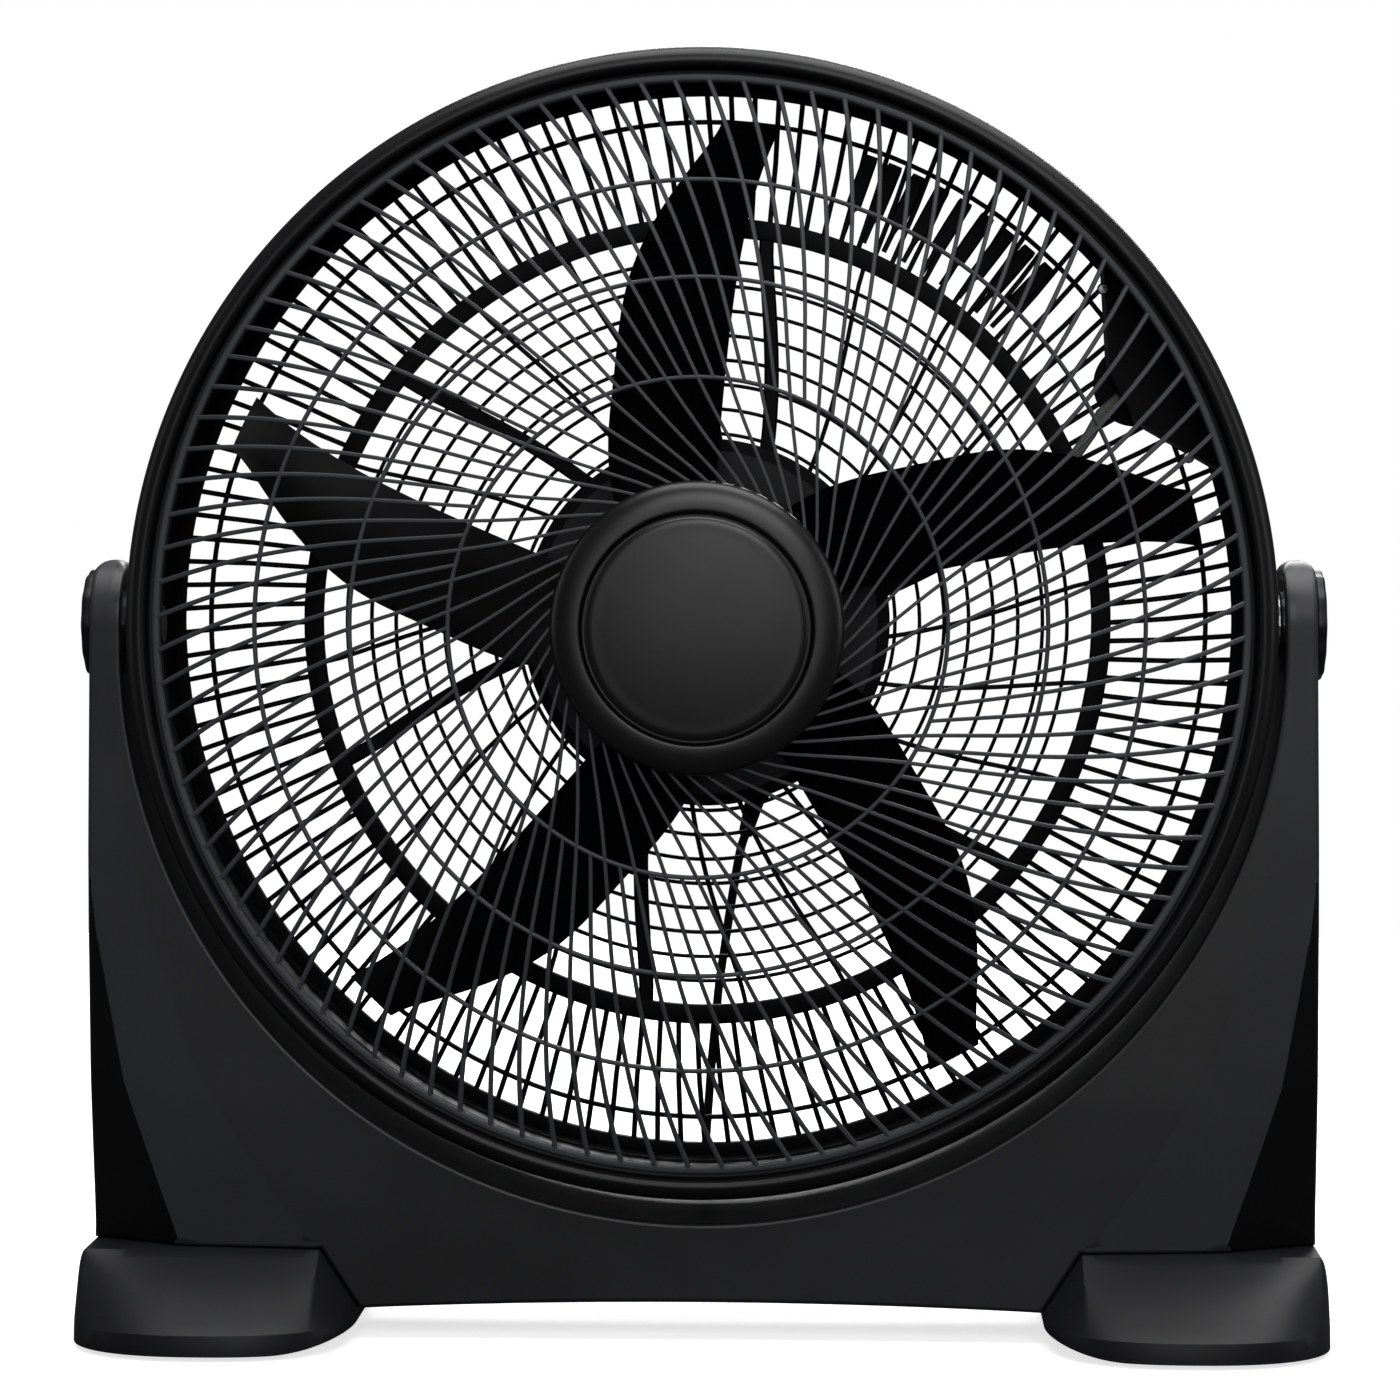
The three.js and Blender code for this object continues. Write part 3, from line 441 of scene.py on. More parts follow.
# The material of each CAD node, by the longest beginning of its name that is listed.
NODE_LOOKS = {
    "foot_pad": RUBBER, "base_screw": STEEL, "switch_box_screw": STEEL, "stator": LAMINATION,
    "rotor_core": LAMINATION, "front_bearing": STEEL, "rear_bearing": STEEL, "motor_shaft": STEEL,
    "pivot_washer": STEEL, "pivot_bolt": BOLT, "motor_front_bell": PAINT, "switch_box": BLACK,
    "speed_switch": SWITCH, "motor_lead": SLEEVE, "cord_gland": RUBBER, "impeller_nut": BLADE,
    "speed_knob": KNOB, "tilt_knob": KNOB, "plug": CORD, "cord": CORD, "foot": SHADED_FOOT, "base": SHELL,
    "drum_housing": SHELL, "front_guard": GUARD, "guard_cap": CAP, "cap_disc": CAP,
    "rear_guard": BLACK, "motor_cover": BLACK, "impeller": BLADE,
}


def dress_nodes():
    """Gives every carried-over CAD node its procedural material."""
    for name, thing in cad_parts.items():
        match = max((key for key in NODE_LOOKS if name.startswith(key)), key=len)
        thing.data.materials.clear()
        thing.data.materials.append(NODE_LOOKS[match])


# ---- Cord ----------------------------------------------------------------------------------------
GLAND_TOP = HEAD + Vector((27, 66, -82)) * MM
GLAND_WAY = Vector((-0.26, 0.28, -0.92)).normalized()
GLAND_LENGTH = 30 * MM
CORD_PITCH = CORD_D + 0.2 * MM
COIL = Vector((20, 205, 0)) * MM
COIL_OUTSIDE = COIL_R + 2 * CORD_PITCH + 0.2 * MM


def spline_at(points, t):
    """Catmull-Rom spline through points, with t from 0 to 1 along the whole of it."""
    spans = len(points) - 1
    place = min(t * spans, spans - 1e-9)
    i = int(place)
    w = place - i
    p0, p1 = Vector(points[max(i - 1, 0)]), Vector(points[i])
    p2, p3 = Vector(points[i + 1]), Vector(points[min(i + 2, spans)])
    a = p1 * 2
    b = p2 - p0
    c = p0 * 2 - p1 * 5 + p2 * 4 - p3
    d = p1 * 3 - p0 - p2 * 3 + p3
    return (a + b * w + c * w ** 2 + d * w ** 3) / 2


def ease(t):
    """A part of the way from 0 to 1 that starts and ends gently."""
    return (1 - math.cos(math.pi * t)) / 2


def coil_points(lie):
    """The coil, wound clockwise: three turns inwards, three outwards on them and three inwards on top."""
    radius = [COIL_R + k * CORD_PITCH for k in (1, 0, -1)]
    height = [lie + k * CORD_PITCH for k in range(4)]
    # (degrees, radius at the end, height at the end)
    legs = [
        (260, radius[0], height[0]), (100, radius[1], height[0]), (260, radius[1], height[0]),
        (100, radius[2], height[0]), (170, radius[2], height[0]), (90, radius[2], height[1]),
        (170, radius[2], height[1]), (100, radius[1], height[1]), (260, radius[1], height[1]),
        (100, radius[0], height[1]), (170, radius[0], height[1]), (90, radius[0], height[2]),
        (170, radius[0], height[2]), (100, radius[1], height[2]), (260, radius[1], height[2]),
        (100, radius[2], height[2]), (260, radius[2], height[2]), (90, radius[2], height[3]),
        (110, COIL_OUTSIDE, height[3]), (100, COIL_OUTSIDE, lie),
    ]
    points = []
    angle, r, z = 180, radius[0], height[0]
    for sweep, r_end, z_end in legs:
        steps = max(round(sweep / 10), 1)
        for k in range(steps):
            t = k / steps
            a, b = polar(r + (r_end - r) * ease(t), angle - sweep * t)
            points.append(COIL + Vector((a, b, z + (z_end - z) * ease(t))))
        angle, r, z = angle - sweep, r_end, z_end
    return points


def cord_points():
    """The whole route: out of the gland, down to the floor, round the coil and out to the plug."""
    lie = CORD_D / 2 + GAP
    exit_point = GLAND_TOP + GLAND_WAY * (GLAND_LENGTH + GAP)
    start_x = COIL.x - COIL_R - CORD_PITCH
    hang = [exit_point, exit_point + GLAND_WAY * 12 * MM]
    hang += [Vector(p) * MM for p in (
        (11, 86, 200), (8, 90, 180), (5, 94, 160), (3, 97.5, 140), (1, 101, 120), (-0.6, 104.4, 100),
        (-2, 108, 82), (-3, 111.6, 65), (-4, 116, 48), (-4.5, 121, 34), (-5, 127.5, 21), (-5.5, 136, 9.8))]
    hang += [Vector((-6 * MM, 146 * MM, lie + MM)), Vector((-7 * MM, 162 * MM, lie)),
             Vector((-9.2 * MM, 178 * MM, lie)), Vector((start_x + 0.3 * MM, 194 * MM, lie)),
             Vector((start_x, COIL.y, lie))]
    points = [spline_at(hang, k / 110) for k in range(110)]
    points += coil_points(lie)
    tail_x = COIL.x + COIL_OUTSIDE
    tail = [Vector((tail_x, COIL.y, lie)), Vector((tail_x, COIL.y - 10 * MM, lie)),
            Vector((tail_x + MM, COIL.y - 24 * MM, lie + 2 * MM))]
    points += [spline_at(tail, k / 8) for k in range(9)]
    return points


def build_cord():
    """A round tube along the route, with its hanging stretch between the head and the base."""
    points = cord_points()
    build = Builder()
    side = Vector((1, 0, 0))
    rows = []
    for i, point in enumerate(points):
        ahead = (points[min(i + 1, len(points) - 1)] - points[max(i - 1, 0)]).normalized()
        side = (side - ahead * side.dot(ahead)).normalized()
        other = ahead.cross(side)
        rows.append([point + (side * a + other * b) for a, b in
                     (polar(CORD_D / 2, 30 * k) for k in range(12))])
    build.grid(rows, cap_ends=True)
    piece = build.make("mains_cord", 60)
    piece.data.materials.append(CORD)
    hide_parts("cord", "cord_coil", "cord_tail")
    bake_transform(piece)


# ---- Front guard ---------------------------------------------------------------------------------
def guard_turn(radius):
    """Degrees that a spoke has swept round when it reaches a radius, counted from the cap."""
    steady, curl = 94.5, 123.7
    fade, middle = 25.8 * MM, 122.7 * MM

    def total(r):
        return steady * r - curl * fade * math.exp(-(r - middle) / fade)

    return total(radius) - total(CAP_R)


def guard_y(radius):
    """Where the middle of the guard's thickness is at a radius: it domes forwards from the rim."""
    part = min(max((GUARD_R - radius) / (GUARD_R - CAP_R), 0), 1)
    return GUARD_BACK_Y - GUARD_THICK / 2 - GUARD_DOME * math.sin(part * math.pi / 2)


def guard_point(radius, angle):
    x, z = polar(radius, angle)
    return HEAD + Vector((x, guard_y(radius), z))


def build_front_guard():
    """A rim, three thin rings and swept spokes: every second one runs in to the cap."""
    build = Builder()
    back, front = GUARD_BACK_Y, GUARD_BACK_Y - GUARD_THICK
    build.turned(rounded(ring_section(GUARD_INNER_R, GUARD_R, front, back), 1.2 * MM), 240)
    half_wide, half_deep = 1.05 * MM, GUARD_BAR_DEEP / 2
    for radius in GUARD_RINGS:
        y = guard_y(radius)
        ring = ring_section(radius - half_wide, radius + half_wide, y - half_deep, y + half_deep)
        build.turned(rounded(ring, 0.9 * MM, 3), 180)
    inner_ring = GUARD_RINGS[-1]
    for i in range(GUARD_SPOKES):
        start = CAP_R - 3 * MM if i % 2 == 0 else inner_ring
        steps = 26 if i % 2 == 0 else 18
        first = 360 * i / GUARD_SPOKES
        path, widths = [], []
        for k in range(steps + 1):
            radius = start + (GUARD_INNER_R + 0.8 * MM - start) * k / steps
            path.append(guard_point(radius, first + guard_turn(radius)))
            widths.append((1.55 + 0.85 * (radius - CAP_R) / (GUARD_R - CAP_R)) * MM)
        build.bar(path, widths, GUARD_BAR_DEEP)
    y = GUARD_BACK_Y - GUARD_DOME
    seat = ring_section(CAP_R - 12 * MM, CAP_R - MM, y - GUARD_THICK, y)
    build.turned(rounded(seat, 0.8 * MM), 96)
    show(build.make("front_guard_fine"), "head", "graphite_guard", GUARD, "front_guard")


def build_cap():
    """A broad rounded flange, a groove, and a low domed disc that stands up from it."""
    back = GUARD_BACK_Y - GUARD_THICK - GUARD_DOME - GAP
    top = back - CAP_HIGH
    flange = []
    for k in range(13):
        turn = math.pi / 2 * k / 12
        flange.append((CAP_R - 13.5 * MM * (1 - math.cos(turn)),
                       back - 1.2 * MM - 7.0 * MM * math.sin(turn)))
    cap = [(AXIS, back - 5.4 * MM), (DISC_R, back - 5.4 * MM), (CAP_R - 4 * MM, back),
           (CAP_R - 0.4 * MM, back)]
    cap += flange
    cap += [(DISC_R + 2.6 * MM, back - 8.0 * MM), (DISC_R + 1.2 * MM, back - 6.4 * MM),
            (DISC_R - 1 * MM, back - 6.4 * MM), (DISC_R - 2 * MM, top), (AXIS, top)]
    build = Builder()
    build.turned(rounded(cap, 0.5 * MM, 2), 200)
    show(build.make("guard_cap_fine", 50), "head", "cap_plastic", CAP, "guard_cap")

    seat, front = top - GAP, top - DISC_HIGH
    disc = [(AXIS, seat), (DISC_R - 2.5 * MM, seat), (DISC_R - 0.4 * MM, seat - 0.4 * MM)]
    for k in range(9):
        turn = math.pi / 2 * k / 8
        disc.append((DISC_R - 0.2 * MM - 5 * MM * (1 - math.cos(turn)),
                     seat - 0.8 * MM - 1.9 * MM * math.sin(turn)))
    edge_r, edge_y = disc[-1]
    for k in range(1, 13):
        radius = edge_r * (1 - k / 12)
        disc.append((max(radius, AXIS), front + (edge_y - front) * (radius / edge_r) ** 2))
    build = Builder()
    build.turned(disc, 200)
    show(build.make("cap_disc_fine", 50), "head", "cap_plastic", CAP, "cap_disc")


# ---- Rear guard ----------------------------------------------------------------------------------
def rear_turn(radius):
    """Degrees that an inner rib has swept back when it reaches a radius, from the heavy ring."""
    part = (REAR_RING_IN - radius) / (REAR_RING_IN - REAR_HUB_R)
    return -REAR_SWEEP * max(part, 0) ** 1.3


def build_rear_guard():
    """The heavy ring with thin bars outside it, ribs and thin rings inside it, slats and a switch plate."""
    build = Builder()
    rings = [(REAR_R - 7 * MM, REAR_R, 0), (REAR_OUTER_RING - 1.2 * MM, REAR_OUTER_RING + 1.2 * MM, 1),
             (REAR_RING_IN, REAR_RING_OUT, 0), (REAR_HOLE_R, REAR_HUB_R - 3 * MM, 0)]
    for i in range(REAR_RINGS):
        radius = REAR_RING_IN - REAR_RING_PITCH * (i + 1) + 0.3 * MM
        rings.append((radius - 0.95 * MM, radius + 0.95 * MM, 1))
    for inner, outer, thin in rings:
        front, back = REAR_FRONT_Y + thin * MM, REAR_BACK_Y - thin * MM
        build.turned(rounded(ring_section(inner, outer, front, back), 0.8 * MM, 3), 180)
    for i in range(REAR_OUTER_SPOKES):
        angle = 360 * i / REAR_OUTER_SPOKES
        spots = (polar(REAR_RING_OUT - MM, angle), polar(234 * MM, angle + 0.5),
                 polar(REAR_R - 5 * MM, angle + 1.2))
        path = [HEAD + Vector((a, REAR_MIDDLE_Y, b)) for a, b in spots]
        build.bar(path, [2.6 * MM] * 3, 3.6 * MM)
    for i in range(REAR_RIBS):
        angle = REAR_FIRST_RIB + 360 * i / REAR_RIBS
        heavy = i % 4 == 0
        path, widths = [], []
        for k in range(13):
            radius = REAR_HUB_R - 4 * MM + (REAR_RING_IN + MM - REAR_HUB_R + 4 * MM) * k / 12
            a, b = polar(radius, angle + rear_turn(radius))
            path.append(HEAD + Vector((a, REAR_MIDDLE_Y, b)))
            widths.append((7.4 if heavy else 2.3) * MM)
        build.bar(path, widths, REAR_RIB_DEEP)
    add_slats(build)
    a, b = polar(SWITCH_R, SWITCH_ANGLE)
    plate = ring_section(5 * MM, 21 * MM, REAR_FRONT_Y, REAR_BACK_Y)
    build.turned(rounded(plate, MM), 64, HEAD + Vector((a, 0, b)))
    show(build.make("rear_guard_fine"), "head", "black_guard", BLACK, "rear_guard")


def add_slats(build):
    """The block of broad slats near the top of the rear guard, each with a narrow foot."""
    radii = (207, 217, 220, 222, 234, 247, 249)
    widths = [w * MM for w in (2.6, 2.8, 3.6, 7.8, 8.0, 7.8, 7.0)]
    first, last = SLAT_ANGLES
    for i in range(SLATS):
        angle = first + (last - first) * i / (SLATS - 1)
        spots = [polar(r * MM, angle) for r in radii]
        path = [HEAD + Vector((a, REAR_MIDDLE_Y - 0.2 * MM, b)) for a, b in spots]
        build.bar(path, widths, REAR_RIB_DEEP)


# ---- Drum ----------------------------------------------------------------------------------------
def build_drum():
    """A shell with a round front lip, a step that carries the guard, a rear rim and two side bosses."""
    lip, rear = -DRUM_Y, DRUM_Y
    # (depth in from the rim, distance behind the lip), in millimetres
    front_part = [(0, 10), (0.7, 6.2), (2.2, 3.2), (4.6, 1.2),
                  (7.6, 0.4), (9.6, 1.2), (10.6, 3.4), (11.2, 7.6)]
    profile = [(RIM_R - a * MM, lip + b * MM) for a, b in front_part]
    profile += [(GUARD_INNER_R, lip + 8.6 * MM), (GUARD_INNER_R, lip + 11.6 * MM),
                (RIM_R - DRUM_WALL, lip + 11.8 * MM)]
    # (depth in from the rim, distance in front of the rear), in millimetres
    rear_part = [(6.6, 8.5), (9, 6), (7.6, 5.6), (7.6, 0.4), (3.8, 0.4)]
    profile += [(RIM_R - a * MM, rear - b * MM) for a, b in rear_part]
    build = Builder()
    build.turned(rounded(profile, 1.2 * MM, 3), 288)
    for sign in (-1, 1):
        inner, outer = sign * (RIM_R - DRUM_WALL), sign * (RIM_R + 1.2 * MM)
        boss = [(BOSS_BORE_R, inner), (24 * MM, inner), (24 * MM, outer), (BOSS_BORE_R, outer)]
        build.turned(rounded(boss, 0.9 * MM), 64, HEAD, "x")
    # The drum wears the darker copy of the shell: painted shade.
    show(build.make("drum_fine", 40), "head", "charcoal_shell", SHADED_DRUM, "drum_housing")


# ---- Impeller ------------------------------------------------------------------------------------
# A blade's swept edge: (radius in millimetres, degrees behind the straight edge's tip).
SWEPT_EDGE = [(38, 52), (80, 40), (126, 27), (178, 18), (231, 7), (248, 4.5)]


def blade_rows(tip):
    """Sections of a blade from the hub to the tip, pitched and slightly cupped, thin at both edges."""
    along, across = 40, 14
    rows = []
    for i in range(along + 1):
        edge = spline_at(SWEPT_EDGE, i / along)
        radius, swept = edge.x * MM, edge.y
        part = max((radius - HUB_R) / (ROTOR_R - HUB_R), 0)
        straight = 2 - 4 * part ** 4
        rise = 16 * (1 - 0.75 * part ** 2.5) * MM
        thick = (2.6 - 1.1 * part) * MM
        upper, lower = [], []
        for j in range(across + 1):
            chord = j / across
            x, z = polar(radius, tip + straight + (swept - straight) * chord)
            y = BLADE_Y + rise * (1 - 2 * chord) + 0.18 * rise * math.sin(math.pi * chord)
            half = thick / 2 * (0.25 + 0.75 * math.sin(math.pi * min(max(chord, 0.02), 0.98)) ** 0.5)
            upper.append(HEAD + Vector((x, y - half, z)))
            lower.append(HEAD + Vector((x, y + half, z)))
        rows.append(upper + lower[::-1])
    return rows


def build_impeller():
    """A cup-shaped hub with its bore, and the blades."""
    front, back = BLADE_Y - 20 * MM, BLADE_Y + 15 * MM
    build = Builder()
    hub = [(HUB_BORE_R, front), (HUB_R - 4 * MM, front), (HUB_R, front + 4 * MM), (HUB_R, back),
           (HUB_R - 3 * MM, back), (HUB_R - 3 * MM, front + 5 * MM), (10 * MM, front + 3 * MM),
           (10 * MM, back), (HUB_BORE_R, back)]
    build.turned(rounded(hub, 1.2 * MM), 96)
    for i in range(BLADES):
        build.grid(blade_rows(FIRST_TIP + 360 * i / BLADES), cap_ends=True)
    show(build.make("impeller_fine", 50), "rotor", "blade_plastic", BLADE, "impeller")


def build_motor_cover():
    """A round cup with low ribs on its back and a post inside for the bearing."""
    front, back = REAR_BACK_Y + GAP, MOTOR_COVER_Y
    outer = MOTOR_COVER_R
    build = Builder()
    shell = [(AXIS, back), (62 * MM, back), (80 * MM, back - 5 * MM), (outer, back - 15 * MM),
             (outer, front), (outer - 8 * MM, front), (outer - 4 * MM, back - 16 * MM),
             (62 * MM, back - 4 * MM), (14.6 * MM, back - 4 * MM), (14.6 * MM, 61 * MM),
             (11.4 * MM, 61 * MM), (11.4 * MM, 69 * MM), (AXIS, 69 * MM)]
    build.turned(rounded(shell, 5 * MM, 5), 160)
    for i in range(COVER_RIBS):
        angle = 360 * i / COVER_RIBS
        spots = (polar(26 * MM, angle), polar(58 * MM, angle))
        path = [HEAD + Vector((a, back + 0.3 * MM, b)) for a, b in spots]
        build.bar(path, [2.4 * MM] * 2, 1.2 * MM)
    show(build.make("motor_cover_fine", 40), "head", "black_guard", BLACK, "motor_cover")


# ---- Knobs ---------------------------------------------------------------------------------------
def build_tilt_knobs():
    """A low domed knob on each arm, with shallow flutes round its edge."""
    back = ARM_OUT + GAP
    profile = [(AXIS, KNOB_OUT)]
    for k in range(1, 15):
        part = k / 14
        profile.append(((KNOB_R - 1.1 * MM) * part, KNOB_OUT - 0.6 * MM * part ** 3))
    profile += [(KNOB_R - 0.4 * MM, KNOB_OUT - 1 * MM), (KNOB_R, KNOB_OUT - 1.8 * MM),
                (KNOB_R, back + 0.5 * MM), (KNOB_R - 0.5 * MM, back), (BOSS_BORE_R, back),
                (BOSS_BORE_R, KNOB_OUT - 3.4 * MM), (AXIS, KNOB_OUT - 3.4 * MM)]
    segments = KNOB_FLUTES * 12
    for side, sign in (("left", -1), ("right", 1)):
        rows = []
        for i in range(segments):
            angle = 360 * i / segments
            dent = FLUTE_DEPTH * (1 - math.cos(math.radians(angle * KNOB_FLUTES))) / 2
            row = []
            for radius, height in profile:
                weight = min(max((radius / KNOB_R - 0.7) / 0.3, 0), 1)
                y, z = polar(radius - dent * weight, angle)
                row.append(HEAD + Vector((sign * height, y, z)))
            rows.append(row)
        build = Builder()
        build.grid(rows, close_rows=True)
        thing = build.make(f"tilt_knob_{side}_fine", 40)
        show(thing, f"{side}_lock", "knob_plastic", KNOB, f"tilt_knob_{side}")


def build_speed_knob():
    """A round skirt with a finger bar across it, on the rear of the switch box."""
    front = REAR_BACK_Y + GAP
    a, b = polar(SWITCH_R, SWITCH_ANGLE)
    centre = HEAD + Vector((a, 0, b))
    skirt = [(4.4 * MM, front), (15 * MM, front), (14 * MM, front + 8 * MM), (4.4 * MM, front + 8 * MM)]
    build = Builder()
    build.turned(rounded(skirt, 1.4 * MM), 72, centre)
    low, high = front + 7.8 * MM, front + 16 * MM
    path = [centre + Vector((0, (low + high) / 2, z * MM)) for z in (-13, -11.5, 11.5, 13)]
    build.bar(path, [3.6 * MM, 6 * MM, 6 * MM, 3.6 * MM], high - low)
    show(build.make("speed_knob_fine", 40), "speed_control", "knob_plastic", KNOB, "speed_knob")


# ---- Base ----------------------------------------------------------------------------------------
# The two creases on the base's front: (height, distance from the middle) in millimetres.
INNER_CREASE = [(41, 187), (86, 219), (136, 249), (205, 271), (260, 281), (342, 289)]
OUTER_CREASE = [(44, 256), (79, 268), (126, 283.5), (199, 296.5), (240, 301), (342, 301)]
CREASE_EDGE = 0.3           # distance outside a crease, in millimetres, from which a face is past it
INNER_SLOPE, OUTER_SLOPE = 0.10, 0.42   # how steeply the front falls back outside each crease


def along_list(pairs, value):
    """Straight-line reading of a short list of (key, value) pairs."""
    if value <= pairs[0][0]:
        return pairs[0][1]
    for (k0, v0), (k1, v1) in zip(pairs, pairs[1:]):
        if value <= k1:
            return v0 + (v1 - v0) * (value - k0) / (k1 - k0)
    return pairs[-1][1]


def side_depth(z):
    """Half the depth of the U at a height, straight up to the tilt axis and round above it."""
    if z > PIVOT_Z:
        rise = min((z - PIVOT_Z) / ARM_TOP, 0.999)
        return ARM_TOP * math.sqrt(1 - rise ** 2)
    low = PIVOT_Z / 3
    part = min(max((z - low) / (PIVOT_Z - low), 0), 1)
    return BASE_Y + (ARM_TOP - BASE_Y) * part


def past_creases(x, z):
    """How far outside the inner and the outer crease a point is, in millimetres."""
    across, height = abs(x) / MM, z / MM
    return (max(across - along_list(INNER_CREASE, height), 0),
            max(across - along_list(OUTER_CREASE, height), 0))


def crease_parts(start, way, width):
    """Parts of the way across the panel at which its columns stand, with one on each crease."""
    steps = 400
    marks = [0, 1, 1]
    for k in range(steps, 0, -1):
        spot = start + way * (width * k / steps)
        first, second = past_creases(spot.x, spot.z)
        if first > 0:
            marks[1] = k / steps
        if second > 0:
            marks[2] = k / steps
    marks[1] = min(marks[1], 0.975)
    marks[2] = min(max(marks[2], marks[1] + 0.01), 0.99)
    marks.append(1)
    parts = []
    for (low, high), count in zip(zip(marks, marks[1:]), (14, 8, 7)):
        parts += [low + (high - low) * k / count for k in range(1, count + 1)]
    return parts[:-1]


def facet_back(x, z):
    """How far the panel's front falls back outside its two creases."""
    first, second = past_creases(x, z)
    return (INNER_SLOPE * first + OUTER_SLOPE * second) * MM


def outline_reach(angle):
    """Distance from the cradle's centre to the outer outline of the U at an angle below level."""
    dx, dz = math.cos(math.radians(angle)), -math.sin(math.radians(angle))
    x_sign = 1 if dx >= 0 else -1
    best = None
    spots = [(ARM_OUT, CRADLE_Z), (BASE_OUT, FOOT_TOP + GAP), (FOOT_SHOULDER, FOOT_TOP + GAP),
             (FOOT_IN, PANEL_LOW)]
    for k in range(1, 13):
        part = 1 - k / 12
        spots.append((FOOT_IN * part, PANEL_LOW + PANEL_ARCH * (1 - part ** 2)))
    for (x0, z0), (x1, z1) in zip(spots, spots[1:]):
        ax, az = x0 * x_sign, z0 - CRADLE_Z
        bx, bz = x1 * x_sign, z1 - CRADLE_Z
        ex, ez = bx - ax, bz - az
        cross = dx * ez - dz * ex
        if abs(cross) < 1e-12:
            continue
        reach = (ax * ez - az * ex) / cross
        part = (ax * dz - az * dx) / cross
        if reach > 0 and -1e-6 <= part <= 1 + 1e-6:
            best = reach if best is None else max(best, reach)
    return best if best is not None else ARM_OUT


def corner_angle(x, z):
    """Degrees below level at which a corner of the outline is seen from the cradle's centre."""
    return math.degrees(math.atan2(CRADLE_Z - z, x))


def panel_stations():
    """Pairs of inner and outer points round the U, from the left arm's top to the right arm's."""
    top = PIVOT_Z + ARM_TOP
    rises = [PIVOT_Z + ARM_TOP * math.cos(math.radians(90 * k / 26)) for k in range(27)]
    corners = [corner_angle(BASE_OUT, FOOT_TOP + GAP), corner_angle(FOOT_SHOULDER, FOOT_TOP + GAP),
               corner_angle(FOOT_IN, PANEL_LOW)]
    angles = sorted(set([a * 1.25 for a in range(0, 73)] + corners))
    stations = []
    for z in rises:
        drop = min((top - z) / ARM_ROUND, 1)
        corner = ARM_ROUND * (1 - math.sqrt(1 - (1 - drop) ** 2))
        stations.append(((ARM_IN + corner, z), (ARM_OUT - corner, z)))
    for angle in angles:
        dx, dz = math.cos(math.radians(angle)), -math.sin(math.radians(angle))
        reach = outline_reach(angle)
        stations.append(((ARM_IN * dx, CRADLE_Z + ARM_IN * dz), (reach * dx, CRADLE_Z + reach * dz)))
    mirror = [((-a, b), (-c, d)) for (a, b), (c, d) in stations[:-1]]
    return mirror + stations[::-1]


def build_base_half(name, sign, node):
    """One half of the U: a skin with rounded inner and outer edges. sign is -1 in front."""
    rows = []
    seam = FRONT_TO_BACK * (sign * GAP / 2)
    for (ix, iz), (ox, oz) in panel_stations():
        inner, outer = Vector((ix, 0, iz)), Vector((ox, 0, oz))
        way = outer - inner
        flat = way.length - 2 * BASE_EDGE
        way.normalize()
        start = inner + way * BASE_EDGE
        row = [inner + seam, *edge_round(inner, way, sign)]
        for part in crease_parts(start, way, flat):
            place = start + way * (flat * part)
            row.append(Vector((place.x, sign * surface_y(place.x, place.z, sign), place.z)))
        row += edge_round(outer, -way, sign)[::-1]
        row.append(outer + seam)
        rows.append(row)
    build = Builder()
    build.grid(rows, cap_ends=True)
    thing = show(build.make(name, 5), "base", "charcoal_shell", SHELL, node)
    if sign < 0:
        # The front half also takes the lighter and darker copies of the shell: painted highlight and
        # painted shade on its facets.
        thing.data.materials.append(PAINTED_HIGHLIGHT_FACET)
        thing.data.materials.append(PAINTED_SHADE_CORNER)
        # Front-facing faces past the inner crease get the painted highlight, those past the outer crease
        # get the painted shade.
        for face in thing.data.polygons:
            first, second = past_creases(face.center.x, face.center.z)
            if face.normal.y < -0.3 and first > CREASE_EDGE:
                face.material_index = 2 if second > CREASE_EDGE else 1


def edge_round(corner, way, sign):
    """Quarter round from a corner of the U's section on to its front or rear face; way leads inwards."""
    points = []
    for k in range(4):
        turn = math.pi / 2 * k / 3
        place = corner + way * (BASE_EDGE * (1 - math.cos(turn)))
        y = surface_y(place.x, place.z, sign) - BASE_EDGE * (1 - math.sin(turn))
        points.append(Vector((place.x, sign * y, place.z)))
    return points


def surface_y(x, z, sign):
    """Depth of the base's front (sign -1) or rear (sign 1) surface, never less than its rounded edge."""
    depth = side_depth(z)
    if sign < 0:
        depth -= min(facet_back(x, z), depth * 0.75)
    return max(depth, 0.4 * MM + BASE_EDGE)


def foot_reach(x):
    """Half the length of the foot at a distance from the middle: an oval with straight ends."""
    across = min(abs(x - FOOT_MID) / FOOT_HALF, 1)
    plateau = BASE_Y + 2 * MM
    return plateau + (FOOT_Y - plateau) * (1 - across ** FOOT_ROUND) ** (1 / FOOT_ROUND)


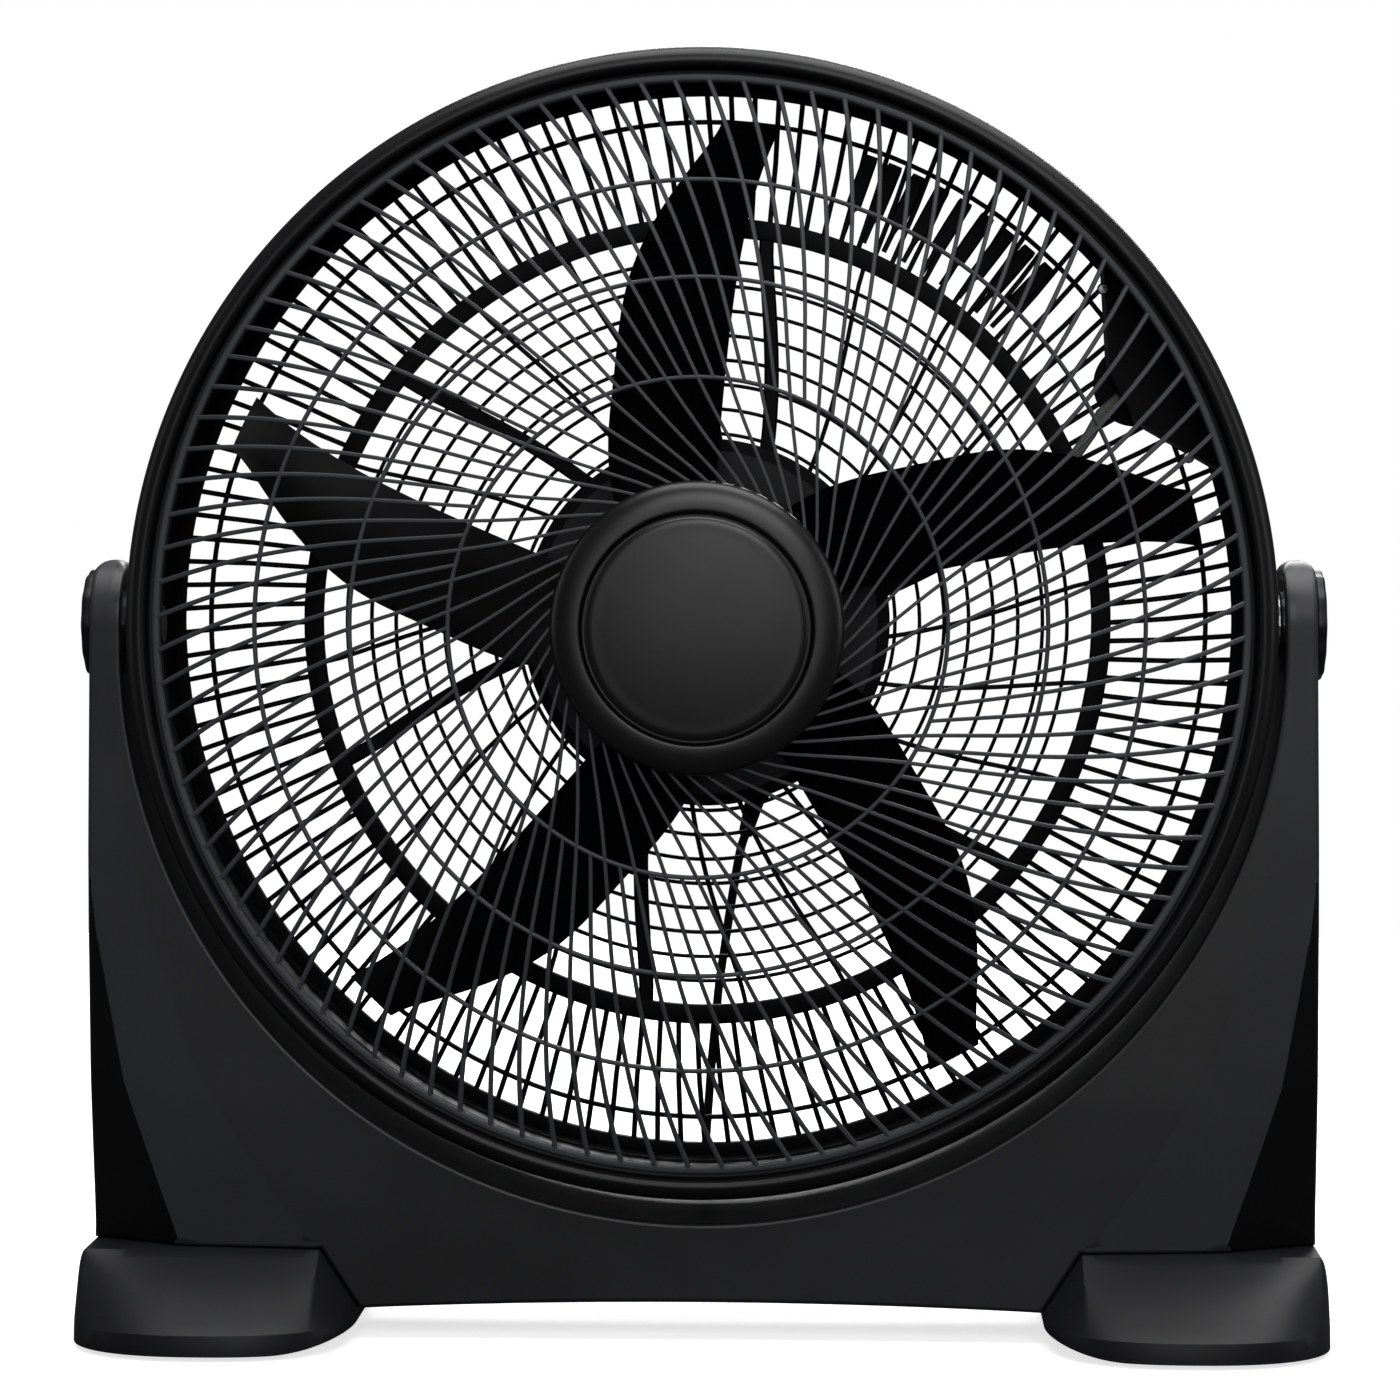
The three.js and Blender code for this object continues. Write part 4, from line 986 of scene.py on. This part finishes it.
def foot_section(x, inset):
    """Section of the foot: a lip, a swelling slope up to the panel and a flat under it."""
    plateau = BASE_Y + 2 * MM - inset / 2
    half = foot_reach(x) + 0.4 * MM - inset
    brow = half - min(1.5 * MM, (half - plateau) / 2)
    rise = (FOOT_TOP - PANEL_LOW) / (FOOT_SHOULDER - FOOT_IN)
    end = min(max((x - FOOT_OUT + FOOT_END) / FOOT_END, 0), 1)
    crown = FOOT_LIP + 3 * MM + (FOOT_TOP - FOOT_LIP - 3 * MM) * math.sqrt(1 - end ** 2)
    top = min(crown, PANEL_LOW + (x - FOOT_IN - 0.6 * MM) * rise) - inset
    lip = min(FOOT_LIP, top + inset - MM) - inset
    heel = 0.2 * (FOOT_FLAT - FOOT_IN) * (max(FOOT_FLAT - x, 0) / (FOOT_FLAT - FOOT_IN)) ** 2
    floor = -MM if inset > 0 else FOOT_LOW + heel
    slope = []
    for k in range(1, 8):
        t = k / 8
        swell = math.sin(math.pi * t) * min(0.035 * (brow - plateau), 0.12 * (top - lip))
        slope.append((brow + (plateau - brow) * t, lip + (top - lip) * t + swell))
    front = [(half, floor), (brow, lip), *slope, (plateau, top)]
    return [(-y, z) for y, z in front] + front[::-1]


def foot_block(sign, inset):
    """The foot's outer shape, or the space inside it when inset is its wall."""
    steps = 56
    low, high = FOOT_MID - FOOT_HALF + inset, FOOT_MID + FOOT_HALF - inset
    middle, half = (low + high) / 2, (high - low) / 2
    stations = [middle - half * math.cos(math.pi * k / steps) for k in range(steps + 1)]
    stations += [FOOT_SHOULDER + 0.6 * MM, FOOT_FLAT]
    stations += [high - FOOT_END * (1 - k / 6) for k in range(6)]
    stations.sort()
    build = Builder()
    rows = [[Vector((sign * x, y, z)) for y, z in foot_section(x, inset)] for x in stations]
    build.grid(rows, cap_ends=True)
    return build


def build_feet():
    """Hollow feet with softened edges."""
    for side, sign in (("left", -1), ("right", 1)):
        thing = foot_block(sign, 0).make(f"foot_{side}_fine")
        hollow = foot_block(sign, FOOT_WALL).make(f"foot_{side}_hollow")
        carve = thing.modifiers.new("carve", "BOOLEAN")
        carve.operation = "DIFFERENCE"
        carve.object = hollow
        soften = thing.modifiers.new("soften", "BEVEL")
        soften.width = 2.2 * MM
        soften.segments = 4
        soften.angle_limit = math.radians(32)
        apply_modifiers(thing, 40)
        bpy.data.objects.remove(hollow, do_unlink=True)
        # The feet wear the darker copy of the shell: painted shade.
        show(thing, "base", "charcoal_shell", SHADED_FOOT, f"foot_{side}")


def apply_modifiers(thing, smooth_angle):
    """Makes the modified shape the object's own mesh."""
    view = bpy.context.evaluated_depsgraph_get()
    mesh = bpy.data.meshes.new_from_object(thing.evaluated_get(view))
    thing.modifiers.clear()
    thing.data = mesh
    mesh.polygons.foreach_set("use_smooth", [True] * len(mesh.polygons))
    mesh.set_sharp_from_angle(angle=math.radians(smooth_angle))


make_camera()
make_sky()
make_floor()
make_lights()
dress_nodes()
build_cord()
build_front_guard()
build_cap()
build_rear_guard()
build_drum()
build_impeller()
build_motor_cover()
build_tilt_knobs()
build_speed_knob()
build_base_half("base_front_fine", -1, "base_front_shell")
build_base_half("base_rear_fine", 1, "base_rear_shell")
build_feet()
